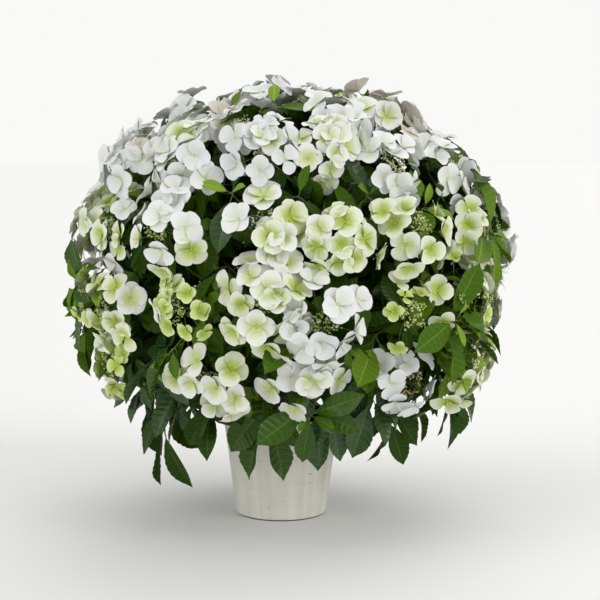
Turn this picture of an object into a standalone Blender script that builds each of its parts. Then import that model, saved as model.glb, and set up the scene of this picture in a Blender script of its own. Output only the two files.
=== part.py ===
"""A lacecap hydrangea in a bark-clad pot.

Metres, +Z up. The origin is the middle of the pot's flat underside, and the plant's best side faces -Y.
A short stem stands in the soil and carries one bough for each mass of leaves and flower heads.
"""

import math
import random
from collections import namedtuple

import bmesh
import bpy
from mathutils import Vector
from mathutils.bvhtree import BVHTree

# ---- The pot and its soil
POT_HEIGHT = 0.150
POT_RIM_RADIUS = 0.088
POT_FOOT_RADIUS = 0.069
POT_WALL = 0.006
POT_FLOOR = 0.009
POT_CHAMFER = 0.0015
POT_SIDES = 36
SOIL_BELOW_RIM = 0.014
SOIL_CROWN = 0.004
SOIL_FLAT_SHARE = 0.62
SHARP_ANGLE = 40

# ---- The short stem that the boughs leave: its height, and its radius at shares of the height from foot to head
STEM_HEIGHT = 0.046
STEM_PROFILE = ((0.00, 0.0210), (0.14, 0.0164), (0.34, 0.0120), (0.62, 0.0147), (0.82, 0.0160), (1.00, 0.0115))
STEM_SIDES = 12
STEM_LOBES = 3
STEM_LOBE_DEPTH = 0.10

# ---- The crown, a dome of flower heads round a point above the pot
CROWN_CENTRE = Vector((0.015, 0.0, 0.350))
CROWN_REACH = Vector((0.310, 0.291, 0.277))
CROWN_SHOULDER = 0.05
MASS_CENTRE_SHARE = 0.80
MASS_ENTRY_SHARE = 0.50
MASS_STEM_SHARE = 0.80
HEAD_REACH = (0.95, 1.03)
LEAFY_REACH = (0.88, 1.0)
PLACE_SPREAD = 3

# ---- Boughs, twigs and their taper. A pull is how far a curve's ends hold their directions, as a share of its span.
BOUGH_BASE_RADIUS = 0.0042
BOUGH_TIP_RADIUS = 0.0024
BOUGH_SIDES = 5
BOUGH_STEPS = 6
BOUGH_START_PULL = 0.42
BOUGH_END_PULL = 0.30
BOUGH_LIFT = 0.25
MASS_STEM_RADIUS = 0.0021
MASS_STEM_START_PULL = 0.4
MASS_STEM_END_PULL = 0.3
MASS_STEM_STEPS = 3
SHOOT_RADIUS = 0.0014
SHOOT_STEPS = 2
SHOOT_PULL = 0.35
FLOWERING_ROOTS = (0.35, 0.9)
FLOWERING_TAPER = 0.75
HANGING_ROOT = 0.4
HANGING_FALL = 1.1
LEAFY_ROOT = 0.75
LEAFY_RISE = 0.3
LEAFY_TAPER = 0.6
TWIG_SIDES = 3
NEARLY_UPRIGHT = 0.95

# ---- Flower heads and leaves
HEAD_LOBES = 5
HEAD_RING = 0.040
HEAD_LOBE_RADIUS = 0.023
HEAD_LOBE_SWING = 48
HEAD_LIFTS = (-0.003, 0.004)
HEAD_NOTCH = 0.031
HEAD_NOTCH_FALL = 0.0028
HEAD_NECK = 0.005
HEAD_SLOPE = 0.65
HEAD_LIFT = 0.05
HEAD_RISE = 0.007
HEAD_FALL = 0.011
HEAD_RADIUS = 0.058
HEAD_LEAST = 0.2
HEAD_ROOM = 0.040
LEAFY_ROOM = 0.020
DRAWN_IN_STEP = 0.04
DRAWN_IN_STEPS = 12
LEAF_LENGTH = 0.078
LEAF_SIZES = (0.8, 1.1)
LEAF_WIDTH = 0.50
LEAF_BELLY = 0.45
LEAF_FOLD = 0.22
LEAF_THICKNESS = 0.016
LEAF_DROOP = 0.38
HANGING_DROOP = 1.0
LEAF_ADVANCE = 0.32
LEAF_OUTWARD = 1.1
LEAF_TURN = 0.4
LEAF_SHARES = (1.0, 0.82, 0.66)
FLOWERING_PAIRS = (0.62, 0.28)
LEAFY_PAIRS = (0.96, 0.62)

# ---- Gaps between pieces that don't touch
CLEARANCE = 0.0003
CELL_GAP = 0.0004
POT_GAP = 0.004
GROUND_GAP = 0.045
WALL_TOUCH = 1e-6

UP = Vector((0, 0, 1))
SEED = 41

# One ring of masses: how many, the ring's angle from the top, the first one's compass angle, the angle and height at
# which its boughs leave the stem, how far off the stem's middle, and the places of each mass's flower heads and of
# its shoots of leaves alone, in degrees down and round from the mass's own direction.
Ring = namedtuple("Ring", "name count polar turn launch height offset heads leafy")
RINGS = (
    Ring(
        "skirt", 6, 106, -98, 34, 0.016, 0.002,
        ((-14, -20), (-14, 0), (-14, 20), (8, -14), (8, 14)),
        ((21, -24), (32, 0), (25, 23), (-2, -27), (-23, -11), (-23, 11), (1, 27)),
    ),
    Ring(
        "shoulder", 5, 61, -76, 52, 0.021, 0.002,
        ((12, -24), (12, 0), (12, 24), (-11, -25), (-11, 0), (-11, 25)),
        ((0, -12), (2, 12), (2, 33), (0, -33)),
    ),
    Ring(
        "top", 3, 22, 90, 80, 0.034, 0.006,
        ((9, -38), (9, 0), (9, 38), (-12, 0)),
        ((6, 19), (6, -19), (6, 56)),
    ),
)
Mass = namedtuple("Mass", "name ring way azimuth entry centre")
Shell = namedtuple("Shell", "points faces material")
Leaf = namedtuple("Leaf", "root way face length")


# ---- Materials

def principled(name, colour, roughness):
    """A plain finish."""
    material = bpy.data.materials.new(name)
    material.use_nodes = True
    shader = material.node_tree.nodes["Principled BSDF"]
    shader.inputs["Base Color"].default_value = (*colour, 1)
    shader.inputs["Roughness"].default_value = roughness
    material.diffuse_color = (*colour, 1)
    return material


def make_materials():
    """Every finish of the plant and its pot, by name."""
    return {
        "bark_sleeve": principled("bark_sleeve", (0.78, 0.74, 0.66), 0.75),
        "soil": principled("soil", (0.055, 0.038, 0.026), 0.95),
        "old_wood": principled("old_wood", (0.20, 0.15, 0.10), 0.85),
        "twig": principled("twig", (0.22, 0.27, 0.10), 0.60),
        "leaf": principled("leaf", (0.045, 0.11, 0.030), 0.42),
        "floret": principled("floret", (0.88, 0.89, 0.84), 0.60),
    }


# ---- Shells: closed shapes as points and faces

def frame_along(way):
    """Two unit vectors across a direction, the second a quarter turn anticlockwise from the first."""
    side = way.cross(UP if abs(way.z) < NEARLY_UPRIGHT else Vector((1, 0, 0))).normalized()
    return side, way.cross(side).normalized()


def limb_rings(path, radii, sides):
    """The points of a tapering limb's rings along a path, and the faces between them."""
    points, faces = [], []
    side = frame_along((path[1] - path[0]).normalized())[0]
    for step, (middle, radius) in enumerate(zip(path, radii, strict=True)):
        ahead = path[min(step + 1, len(path) - 1)] - path[max(step - 1, 0)]
        way = ahead.normalized()
        side = (side - way * side.dot(way)).normalized()
        lift = way.cross(side)
        for corner in range(sides):
            angle = math.tau * corner / sides
            points.append(middle + (side * math.cos(angle) + lift * math.sin(angle)) * radius)
    for ring in range(len(path) - 1):
        for corner in range(sides):
            here, there = ring * sides + corner, ring * sides + (corner + 1) % sides
            faces.append((here, there, there + sides, here + sides))
    faces.append(tuple(reversed(range(sides))))
    return points, faces, len(points) - sides


def tube(path, radii, sides, material):
    """A tapering limb with flat ends."""
    points, faces, last = limb_rings(path, radii, sides)
    return Shell(points, [*faces, tuple(range(last, last + sides))], material)


def leaf_shell(leaf, share):
    """A leaf of eight faces at a share of its full length, its root sunk in the twig, folded along its middle."""
    root, way, face, length = leaf
    length *= share
    side = way.cross(face).normalized()
    half_width = length * LEAF_WIDTH / 2
    thick = face * length * LEAF_THICKNESS / 2
    belly = root + way * length * LEAF_BELLY
    edge = belly + face * half_width * LEAF_FOLD
    rim = [root, edge + side * half_width, root + way * length, edge - side * half_width]
    faces = [(corner, (corner + 1) % 4, 4) for corner in range(4)]
    faces += [((corner + 1) % 4, corner, 5) for corner in range(4)]
    return Shell([*rim, belly + thick, belly - thick], faces, "leaf")


def head_rim(first, lifts):
    """The rim of a flower head as angles, reaches and heights: a rounded lobe for each of its large florets."""
    rim = []
    for lobe, height in enumerate(lifts):
        heading = first + math.tau * lobe / HEAD_LOBES
        for swing in (-HEAD_LOBE_SWING, HEAD_LOBE_SWING):
            bend = math.radians(swing)
            out = HEAD_RING + HEAD_LOBE_RADIUS * math.cos(bend)
            over = HEAD_LOBE_RADIUS * math.sin(bend)
            reach = math.hypot(out, over)
            rim.append((heading + math.atan2(over, out), reach, height - HEAD_FALL * (reach / HEAD_RADIUS) ** 2))
        rim.append((heading + math.pi / HEAD_LOBES, HEAD_NOTCH, -HEAD_NOTCH_FALL))
    return rim


def drawn_in(middle, point, walls):
    """The point, or where the walls stop it on its way out from the middle."""
    share = 1.0
    for way, limit in walls:
        outward = way.dot(point - middle)
        if outward > 0:
            share = min(share, (limit - way.dot(middle)) / outward)
    return middle + (point - middle) * max(share, HEAD_LEAST)


def bloom_shell(path, radii, face, rim, walls):
    """A three-sided twig that opens into a flower head, a low dome with a lobed rim, in one closed shell."""
    points, faces, last = limb_rings(path, radii, TWIG_SIDES)
    neck = path[-1]
    side = (points[last] - neck).normalized()
    side = (side - face * side.dot(face)).normalized()
    lift = face.cross(side)
    middle = neck + face * HEAD_NECK
    first = len(points)
    for angle, reach, height in rim:
        point = middle + (side * math.cos(angle) + lift * math.sin(angle)) * reach + face * height
        points.append(drawn_in(middle, point, walls))
    top = len(points)
    points.append(middle + face * HEAD_RISE)
    count = len(rim)
    for here in range(count):
        there = (here + 1) % count
        faces.append((first + here, first + there, top))
        under, under_next = (
            last + round(rim[corner][0] % math.tau / math.tau * TWIG_SIDES) % TWIG_SIDES for corner in (here, there)
        )
        faces.append((first + there, first + here, under_next))
        if under != under_next:
            faces.append((first + here, under, under_next))
    return Shell(points, faces, "floret")


# ---- Directions and paths

def direction(polar, azimuth):
    """The unit vector at these angles: polar from straight up, azimuth from +X, in degrees."""
    p, a = math.radians(polar), math.radians(azimuth)
    return Vector((math.sin(p) * math.cos(a), math.sin(p) * math.sin(a), math.cos(p)))


def on_crown(way, share=1.0):
    """The point this share of the way from the crown's centre out to its flower heads, fuller at the shoulder."""
    slope = 2 * max(way.z, 0) * math.sqrt(max(1 - way.z**2, 0))
    reach = share * (1 + CROWN_SHOULDER * slope**2)
    return CROWN_CENTRE + Vector(w * r for w, r in zip(way, CROWN_REACH, strict=True)) * reach


def curve(start, start_pull, end_pull, end, steps):
    """Points along a cubic curve."""
    path = []
    for step in range(steps + 1):
        t = step / steps
        s = 1 - t
        path.append(
            start * s**3 + start_pull * (3 * s * s * t) + end_pull * (3 * s * t * t) + end * t**3
        )
    return path


def taper(start, end, steps):
    """Radii from one end of a limb to the other."""
    return [start + (end - start) * step / steps for step in range(steps + 1)]


def along(path, share):
    """The point and direction at a share of a path's steps."""
    place = min(share, 0.999) * (len(path) - 1)
    step = int(place)
    return path[step].lerp(path[step + 1], place - step), (path[step + 1] - path[step]).normalized()


# ---- Objects

def mesh_object(name, shells, materials):
    """A mesh object of one or more shells, linked to no collection."""
    mesh = bpy.data.meshes.new(name)
    points, faces, owners = [], [], []
    names = sorted({shell.material for shell in shells})
    for shell in shells:
        first = len(points)
        points += shell.points
        faces += [tuple(first + corner for corner in face) for face in shell.faces]
        owners += [names.index(shell.material)] * len(shell.faces)
    mesh.from_pydata(points, [], faces)
    for material in names:
        mesh.materials.append(materials[material])
    mesh.polygons.foreach_set("material_index", owners)
    mesh.update()
    return bpy.data.objects.new(name, mesh)


def show(obj):
    """Puts an object in the scene, so that it becomes a node."""
    bpy.context.scene.collection.objects.link(obj)
    return obj


def turned(name, profile, sides, materials, material):
    """A body of revolution round Z. The profile runs from the axis underneath, out, up and back to the axis on top."""
    mesh = bpy.data.meshes.new(name)
    shape = bmesh.new()
    verts = [shape.verts.new((radius, 0, height)) for radius, height in profile]
    edges = [shape.edges.new(pair) for pair in zip(verts, verts[1:], strict=False)]
    bmesh.ops.spin(
        shape, geom=verts + edges, cent=(0, 0, 0), axis=(0, 0, 1), angle=math.tau, steps=sides, use_merge=True
    )
    bmesh.ops.remove_doubles(shape, verts=shape.verts, dist=1e-6)
    bmesh.ops.recalc_face_normals(shape, faces=shape.faces)
    shape.to_mesh(mesh)
    shape.free()
    mesh.materials.append(materials[material])
    mesh.shade_smooth()
    mesh.set_sharp_from_angle(angle=math.radians(SHARP_ANGLE))
    return show(bpy.data.objects.new(name, mesh))


# ---- The pot, the soil and the stem

def make_pot(materials):
    """The pot: a tapering cup with a flat foot and a flat rim."""
    inner_floor = POT_FOOT_RADIUS - POT_WALL
    profile = [
        (0, 0),
        (POT_FOOT_RADIUS - POT_CHAMFER, 0),
        (POT_FOOT_RADIUS, POT_CHAMFER),
        (POT_RIM_RADIUS, POT_HEIGHT - POT_CHAMFER),
        (POT_RIM_RADIUS - POT_CHAMFER, POT_HEIGHT),
        (POT_RIM_RADIUS - POT_WALL, POT_HEIGHT),
        (inner_floor, POT_FLOOR),
        (0, POT_FLOOR),
    ]
    return turned("pot", profile, POT_SIDES, materials, "bark_sleeve")


def soil_top():
    """The height of the soil where the stem stands."""
    return POT_HEIGHT - SOIL_BELOW_RIM


def inner_radius(height):
    """The pot's inner radius at a height above its floor."""
    share = (height - POT_FLOOR) / (POT_HEIGHT - POT_FLOOR)
    foot = POT_FOOT_RADIUS - POT_WALL
    return foot + share * (POT_RIM_RADIUS - POT_WALL - foot)


def make_soil(materials):
    """The soil that fills the pot, flat where the stem stands and lower at the wall."""
    floor = POT_FLOOR + CLEARANCE
    edge = soil_top() - SOIL_CROWN
    gap = 2 * CLEARANCE
    profile = [
        (0, floor),
        (inner_radius(floor) - gap, floor),
        (inner_radius(edge) - gap, edge),
        (inner_radius(edge) * SOIL_FLAT_SHARE, soil_top()),
        (0, soil_top()),
    ]
    return turned("soil", profile, POT_SIDES, materials, "soil")


def stem_shell(swell):
    """The short woody stem, from its flared foot to its rounded head, swell wider all round."""
    points = []
    for share, radius in STEM_PROFILE:
        height = soil_top() + CLEARANCE + share * STEM_HEIGHT
        height += swell * (1 if share == 1 else -1 if share == 0 else 0)
        for corner in range(STEM_SIDES):
            angle = math.tau * corner / STEM_SIDES
            lobed = radius * (1 + STEM_LOBE_DEPTH * (1 - share) * math.cos(STEM_LOBES * angle)) + swell
            points.append(Vector((lobed * math.cos(angle), lobed * math.sin(angle), height)))
    faces = []
    for ring in range(len(STEM_PROFILE) - 1):
        for corner in range(STEM_SIDES):
            here, there = ring * STEM_SIDES + corner, ring * STEM_SIDES + (corner + 1) % STEM_SIDES
            faces.append((here, there, there + STEM_SIDES, here + STEM_SIDES))
    last = (len(STEM_PROFILE) - 1) * STEM_SIDES
    faces.append(tuple(reversed(range(STEM_SIDES))))
    faces.append(tuple(range(last, last + STEM_SIDES)))
    return Shell(points, faces, "old_wood")


# ---- The masses' places, and the boughs that reach them

def place_masses():
    """Every mass, ring by ring, each on its own bough."""
    masses = []
    for ring in RINGS:
        for number in range(ring.count):
            azimuth = ring.turn + 360 * number / ring.count
            way = direction(ring.polar, azimuth)
            name = f"foliage_{ring.name}_{number + 1}"
            entry = on_crown(way, MASS_ENTRY_SHARE)
            masses.append(Mass(name, ring, way, azimuth, entry, on_crown(way, MASS_CENTRE_SHARE)))
    return masses


def bough_path(mass):
    """From inside the stem, up and out to where the mass begins."""
    ring = mass.ring
    level = direction(90, mass.azimuth)
    launch = direction(90 - ring.launch, mass.azimuth)
    start = level * ring.offset + UP * (soil_top() + ring.height)
    span = (mass.entry - start).length
    arrival = (mass.way + UP * BOUGH_LIFT).normalized()
    start_pull = start + launch * span * BOUGH_START_PULL
    end_pull = mass.entry - arrival * span * BOUGH_END_PULL
    return curve(start, start_pull, end_pull, mass.entry, BOUGH_STEPS)


def make_boughs(masses, materials):
    """One bough for each mass, cut to stand just clear of the stem."""
    cutter = show(mesh_object("stem_cutter", [stem_shell(CLEARANCE)], materials))
    cutter.hide_render = True
    cutter.display_type = "WIRE"
    boughs = []
    for mass in masses:
        radii = taper(BOUGH_BASE_RADIUS, BOUGH_TIP_RADIUS, BOUGH_STEPS)
        shell = tube(bough_path(mass), radii, BOUGH_SIDES, "old_wood")
        bough = show(mesh_object(mass.name.replace("foliage", "bough"), [shell], materials))
        bough.data.shade_smooth()
        bough.data.set_sharp_from_angle(angle=math.radians(SHARP_ANGLE))
        trim = bough.modifiers.new("stand clear of the stem", "BOOLEAN")
        trim.operation = "DIFFERENCE"
        trim.object = cutter
        boughs.append(bough)
    return boughs


# ---- The room that each mass keeps to

def walls_between(centre, others):
    """The planes halfway from a centre to each of the others, as a direction and a distance along it."""
    walls = []
    for other in others:
        way = (other - centre).normalized()
        walls.append((way, way.dot(other + centre) / 2 - CELL_GAP))
    return walls


def room_at(point, walls):
    """How far inside the walls a point is."""
    return min(limit - way.dot(point) for way, limit in walls)


def fits(shell, walls, limbs, vessel):
    """True if the shell keeps inside the walls, off the ground, and clear of the limbs and the pot."""
    if min(room_at(point, walls) for point in shell.points) < -WALL_TOUCH:
        return False
    if min(point.z for point in shell.points) < GROUND_GAP:
        return False
    tree = BVHTree.FromPolygons(shell.points, shell.faces)
    if limbs.overlap(tree) or vessel.overlap(tree):
        return False
    if min(limbs.find_nearest(point)[3] for point in shell.points) < 2 * CLEARANCE:
        return False
    return min(vessel.find_nearest(point)[3] for point in shell.points) > POT_GAP


def tree_of(objects):
    """The faces of these objects as one search tree."""
    points, faces = [], []
    graph = bpy.context.evaluated_depsgraph_get()
    for obj in objects:
        mesh = obj.evaluated_get(graph).to_mesh()
        first = len(points)
        points += [obj.matrix_world @ vert.co for vert in mesh.vertices]
        faces += [tuple(first + corner for corner in face.vertices) for face in mesh.polygons]
        obj.evaluated_get(graph).to_mesh_clear()
    return BVHTree.FromPolygons(points, faces)


# ---- What each mass is made of

def mass_stem(mass):
    """The stem of a mass: straight on from just past its bough's tip, then outward."""
    before, tip = bough_path(mass)[-2:]
    way = (tip - before).normalized()
    start = tip + way * CLEARANCE
    straight = start + way * MASS_STEM_RADIUS
    end = on_crown(mass.way, MASS_STEM_SHARE)
    span = (end - straight).length
    start_pull = straight + way * span * MASS_STEM_START_PULL
    end_pull = end - mass.way * span * MASS_STEM_END_PULL
    return [start, *curve(straight, start_pull, end_pull, end, MASS_STEM_STEPS)]


def shoot_ways(mass, places, room, walls, rng):
    """The directions of a mass's shoots, drawn in towards the mass until each has this much room."""
    ways = []
    for down, round_about in places:
        polar = mass.ring.polar + down + rng.uniform(-PLACE_SPREAD, PLACE_SPREAD)
        way = direction(polar, mass.azimuth + round_about + rng.uniform(-PLACE_SPREAD, PLACE_SPREAD))
        for _ in range(DRAWN_IN_STEPS):
            if room_at(on_crown(way), walls) > room:
                break
            way = (way + mass.way * DRAWN_IN_STEP).normalized()
        ways.append(way)
    return ways


def shoot_path(stem, arrival, target, share):
    """A shoot from a share along the stem, curving round to end in the arrival direction."""
    root, stem_way = along(stem, share)
    pull = (target - root).length * SHOOT_PULL
    return curve(root, root + stem_way * pull, target - arrival * pull, target, SHOOT_STEPS)


def leaf_pairs(path, shares, quarter, droop, rng):
    """Opposite leaves at shares along a shoot, each pair set a quarter turn from the one before."""
    leaves = []
    for pair, share in enumerate(shares):
        root, shoot_way = along(path, share)
        side, lift = frame_along(shoot_way)
        outward = (root - CROWN_CENTRE).normalized()
        for opposite in (0, math.pi):
            angle = (quarter + pair) * math.pi / 2 + opposite + rng.uniform(-LEAF_TURN, LEAF_TURN)
            level = side * math.cos(angle) + lift * math.sin(angle)
            way = (level + shoot_way * LEAF_ADVANCE - UP * droop).normalized()
            face = UP + outward * LEAF_OUTWARD
            face = (face - way * face.dot(way)).normalized()
            leaves.append(Leaf(root, way, face, LEAF_LENGTH * rng.uniform(*LEAF_SIZES)))
    return leaves


def flowering_shoot(stem, target, number, walls, rng):
    """A shoot that opens into a flower head, and the pairs of leaves under it."""
    outward = (target - CROWN_CENTRE).normalized()
    face = Vector((outward.x, outward.y, outward.z * HEAD_SLOPE + HEAD_LIFT)).normalized()
    path = shoot_path(stem, face, target, rng.uniform(*FLOWERING_ROOTS))
    rim = head_rim(rng.uniform(0, 1), [rng.uniform(*HEAD_LIFTS) for _ in range(HEAD_LOBES)])
    twig = bloom_shell(path, taper(SHOOT_RADIUS, SHOOT_RADIUS * FLOWERING_TAPER, SHOOT_STEPS), face, rim, walls)
    return [twig, *leaf_pairs(path, FLOWERING_PAIRS, number, LEAF_DROOP, rng)]


def leafy_shoot(stem, way, number, hanging, rng):
    """A shoot of leaves alone: hanging under the skirt, or reaching out between the heads higher up."""
    target = on_crown(way, rng.uniform(*LEAFY_REACH))
    arrival = (way - UP * HANGING_FALL if hanging else way + UP * LEAFY_RISE).normalized()
    path = shoot_path(stem, arrival, target, HANGING_ROOT if hanging else LEAFY_ROOT)
    twig = tube(path, taper(SHOOT_RADIUS, SHOOT_RADIUS * LEAFY_TAPER, SHOOT_STEPS), TWIG_SIDES, "twig")
    return [twig, *leaf_pairs(path, LEAFY_PAIRS, number, HANGING_DROOP if hanging else LEAF_DROOP, rng)]


def grow_mass(mass, walls, rng):
    """A mass's stem, and its shoots, each as a twig followed by its leaves."""
    stem = mass_stem(mass)
    shoots = [[tube(stem, taper(MASS_STEM_RADIUS, SHOOT_RADIUS, 4), TWIG_SIDES, "twig")]]
    ways = shoot_ways(mass, mass.ring.heads, HEAD_ROOM, walls, rng)
    targets = [on_crown(way, rng.uniform(*HEAD_REACH)) for way in ways]
    for number, target in enumerate(targets):
        others = walls_between(target, [other for other in targets if other is not target])
        shoots.append(flowering_shoot(stem, target, number, walls + others, rng))
    for number, way in enumerate(shoot_ways(mass, mass.ring.leafy, LEAFY_ROOM, walls, rng)):
        shoots.append(leafy_shoot(stem, way, number, mass.ring.name == "skirt", rng))
    return shoots


def kept_shells(shoots, walls, limbs, vessel):
    """The stem, the twigs that fit the room, and each leaf at the largest of three sizes at which it fits and crosses
    nothing but its own twig."""
    twigs = [shoots[0][0]]
    owned = []
    for twig, *leaves in shoots[1:]:
        if fits(twig, walls, limbs, vessel):
            owned += [(len(twigs), leaf) for leaf in leaves]
            twigs.append(twig)
    trees = [BVHTree.FromPolygons(twig.points, twig.faces) for twig in twigs]
    kept = []
    for owner, leaf in owned:
        for share in LEAF_SHARES:
            shell = leaf_shell(leaf, share)
            tree = BVHTree.FromPolygons(shell.points, shell.faces)
            crossed = any(tree.overlap(other) for number, other in enumerate(trees) if number != owner)
            if not crossed and fits(shell, walls, limbs, vessel):
                kept.append(shell)
                trees.append(tree)
                break
    return twigs + kept


# ---- Joining a mass into one closed body

def shell_volume(faces):
    """The volume that a closed set of faces encloses, negative if it is a sealed hollow."""
    total = 0.0
    for face in faces:
        first, *rest = [vert.co for vert in face.verts]
        for second, third in zip(rest, rest[1:], strict=False):
            total += first.dot(second.cross(third)) / 6
    return total


def keep_main_body(mesh):
    """Leaves only the largest body: loose scraps are dropped and sealed hollows filled."""
    shape = bmesh.new()
    shape.from_mesh(mesh)
    waiting = set(shape.faces)
    bodies = []
    while waiting:
        body, edge_of_body = set(), [waiting.pop()]
        while edge_of_body:
            face = edge_of_body.pop()
            body.add(face)
            near = {other for edge in face.edges for other in edge.link_faces} & waiting
            waiting -= near
            edge_of_body += near
        bodies.append(body)
    bodies.sort(key=shell_volume)
    loose = [face for body in bodies[:-1] for face in body]
    bmesh.ops.delete(shape, geom=loose, context="FACES")
    bmesh.ops.triangulate(shape, faces=shape.faces)
    shape.to_mesh(mesh)
    shape.free()


def fuse(name, shells, materials):
    """Joins a mass's shells by one Boolean union on a collection, applies it and removes the collection's objects."""
    body = show(mesh_object(name, shells[:1], materials))
    for material in materials.values():
        if material.name not in body.data.materials:
            body.data.materials.append(material)
    others = bpy.data.collections.new(name + "_pieces")
    bpy.context.scene.collection.children.link(others)
    for shell in shells[1:]:
        others.objects.link(mesh_object(name + "_piece", [shell], materials))
    join = body.modifiers.new("join", "BOOLEAN")
    join.operation = "UNION"
    join.operand_type = "COLLECTION"
    join.collection = others
    join.solver = "EXACT"
    bpy.context.view_layer.update()
    graph = bpy.context.evaluated_depsgraph_get()
    joined = bpy.data.meshes.new_from_object(body.evaluated_get(graph))
    body.modifiers.remove(join)
    body.data = joined
    joined.name = name
    for piece in list(others.objects):
        bpy.data.objects.remove(piece)
    bpy.data.collections.remove(others)
    keep_main_body(joined)
    return body


def main():
    """Builds the whole plant."""
    for obj in list(bpy.data.objects):
        bpy.data.objects.remove(obj)
    materials = make_materials()
    pot = make_pot(materials)
    soil = make_soil(materials)
    stem = show(mesh_object("main_stem", [stem_shell(0)], materials))
    masses = place_masses()
    boughs = make_boughs(masses, materials)
    bpy.context.view_layer.update()
    limbs = tree_of([stem, *boughs])
    vessel = tree_of([pot, soil])
    total = 0
    for number, mass in enumerate(masses):
        walls = walls_between(mass.centre, [other.centre for other in masses if other is not mass])
        shoots = grow_mass(mass, walls, random.Random(SEED + number))
        kept = kept_shells(shoots, walls, limbs, vessel)
        body = fuse(mass.name, kept, materials)
        total += len(body.data.polygons)
        grown = sum(len(shoot) for shoot in shoots)
        print(mass.name, len(kept), "of", grown, "shells,", len(body.data.polygons), "triangles")
    print("foliage triangles:", total)


main()
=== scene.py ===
# %% [markdown]
# # A lacecap hydrangea in a bark-clad pot
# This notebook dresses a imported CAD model. The model already has every real size: a tapering pot, a short stem,
# fourteen boughs and fourteen rooms of foliage. Here each of them gets its finish, and the foliage is grown again by
# the same seeded rule, but down to single sepals, buds and leaf veins. The frame comes first, because every piece
# has to ride on one of its bodies and to stay in or close to its box.

# %% Loading the frame
import math
import random
from collections import namedtuple

import bpy
import numpy as np
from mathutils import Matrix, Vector


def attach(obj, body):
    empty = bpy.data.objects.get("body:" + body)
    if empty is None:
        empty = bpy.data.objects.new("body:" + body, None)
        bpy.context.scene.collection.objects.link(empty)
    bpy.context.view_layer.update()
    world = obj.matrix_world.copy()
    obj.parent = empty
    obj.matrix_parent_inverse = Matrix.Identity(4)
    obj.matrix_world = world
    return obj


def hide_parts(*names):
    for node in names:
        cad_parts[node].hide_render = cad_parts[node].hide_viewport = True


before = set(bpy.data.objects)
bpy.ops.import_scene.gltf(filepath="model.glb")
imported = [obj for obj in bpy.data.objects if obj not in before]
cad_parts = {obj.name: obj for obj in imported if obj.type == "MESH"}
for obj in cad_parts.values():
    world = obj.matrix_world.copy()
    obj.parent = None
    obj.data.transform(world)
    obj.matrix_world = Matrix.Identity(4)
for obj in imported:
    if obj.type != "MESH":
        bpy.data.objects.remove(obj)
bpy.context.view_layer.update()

UP = Vector((0, 0, 1))

# %% [markdown]
# ## The plant's plan
# A hydrangea grown in a pot makes a dome: every shoot runs out to the light and ends in a flat flower head. So all
# places are worked out from one point in the middle of the dome, by an angle down from the top and an angle round.
# Long lists of points would do as well, but a rule with a few named sizes can be read and changed.

# %% Sizes of the dome and its limbs
SOIL_TOP = 0.136
DOME_CENTRE = Vector((0.015, 0.0, 0.350))
DOME_REACH = Vector((0.310, 0.291, 0.277))
DOME_SHOULDER = 0.05
MASS_CENTRE_SHARE = 0.80
MASS_ENTRY_SHARE = 0.50
MASS_STEM_SHARE = 0.80

Ring = namedtuple("Ring", "name count polar turn launch height offset heads leafy")
RINGS = (
    Ring(
        "skirt", 6, 106, -98, 34, 0.016, 0.002,
        ((-14, -20), (-14, 0), (-14, 20), (8, -14), (8, 14)),
        ((21, -24), (32, 0), (25, 23), (-2, -27), (-23, -11), (-23, 11), (1, 27)),
    ),
    Ring(
        "shoulder", 5, 61, -76, 52, 0.021, 0.002,
        ((12, -24), (12, 0), (12, 24), (-11, -25), (-11, 0), (-11, 25)),
        ((0, -12), (2, 12), (2, 33), (0, -33)),
    ),
    Ring(
        "top", 3, 22, 90, 80, 0.034, 0.006,
        ((9, -38), (9, 0), (9, 38), (-12, 0)),
        ((6, 19), (6, -19), (6, 56)),
    ),
)
Mass = namedtuple("Mass", "name ring way azimuth entry centre")
Shoot = namedtuple("Shoot", "path face leaves young walls hanging")
Leaf = namedtuple("Leaf", "root way face length")

# %% Directions and curves
def direction(polar, azimuth):
    """The unit vector at these angles: polar from straight up, azimuth from +X, in degrees."""
    p, a = math.radians(polar), math.radians(azimuth)
    return Vector((math.sin(p) * math.cos(a), math.sin(p) * math.sin(a), math.cos(p)))


def on_dome(way, share=1.0):
    """The point this share of the way from the dome's centre out to its flower heads, fuller at the shoulder."""
    slope = 2 * max(way.z, 0) * math.sqrt(max(1 - way.z**2, 0))
    reach = share * (1 + DOME_SHOULDER * slope**2)
    return DOME_CENTRE + Vector(w * r for w, r in zip(way, DOME_REACH, strict=True)) * reach


def curve(start, start_pull, end_pull, end, steps):
    """Points along a cubic curve."""
    path = []
    for step in range(steps + 1):
        t = step / steps
        s = 1 - t
        path.append(start * s**3 + start_pull * (3 * s * s * t) + end_pull * (3 * s * t * t) + end * t**3)
    return path


def along(path, share):
    """The point and direction at a share of a path's steps."""
    place = min(share, 0.999) * (len(path) - 1)
    step = int(place)
    return path[step].lerp(path[step + 1], place - step), (path[step + 1] - path[step]).normalized()


def frame_along(way):
    """Two unit vectors across a direction, the second a quarter turn anticlockwise from the first."""
    side = way.cross(UP if abs(way.z) < 0.95 else Vector((1, 0, 0))).normalized()
    return side, way.cross(side).normalized()

# %% Masses and the boughs that reach them
BOUGH_STEPS = 24
SHOOT_STEPS = 8


def place_masses():
    """Every mass of foliage, ring by ring, each on its own bough."""
    masses = []
    for ring in RINGS:
        for number in range(ring.count):
            azimuth = ring.turn + 360 * number / ring.count
            way = direction(ring.polar, azimuth)
            name = f"foliage_{ring.name}_{number + 1}"
            entry = on_dome(way, MASS_ENTRY_SHARE)
            masses.append(Mass(name, ring, way, azimuth, entry, on_dome(way, MASS_CENTRE_SHARE)))
    return masses


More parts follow.
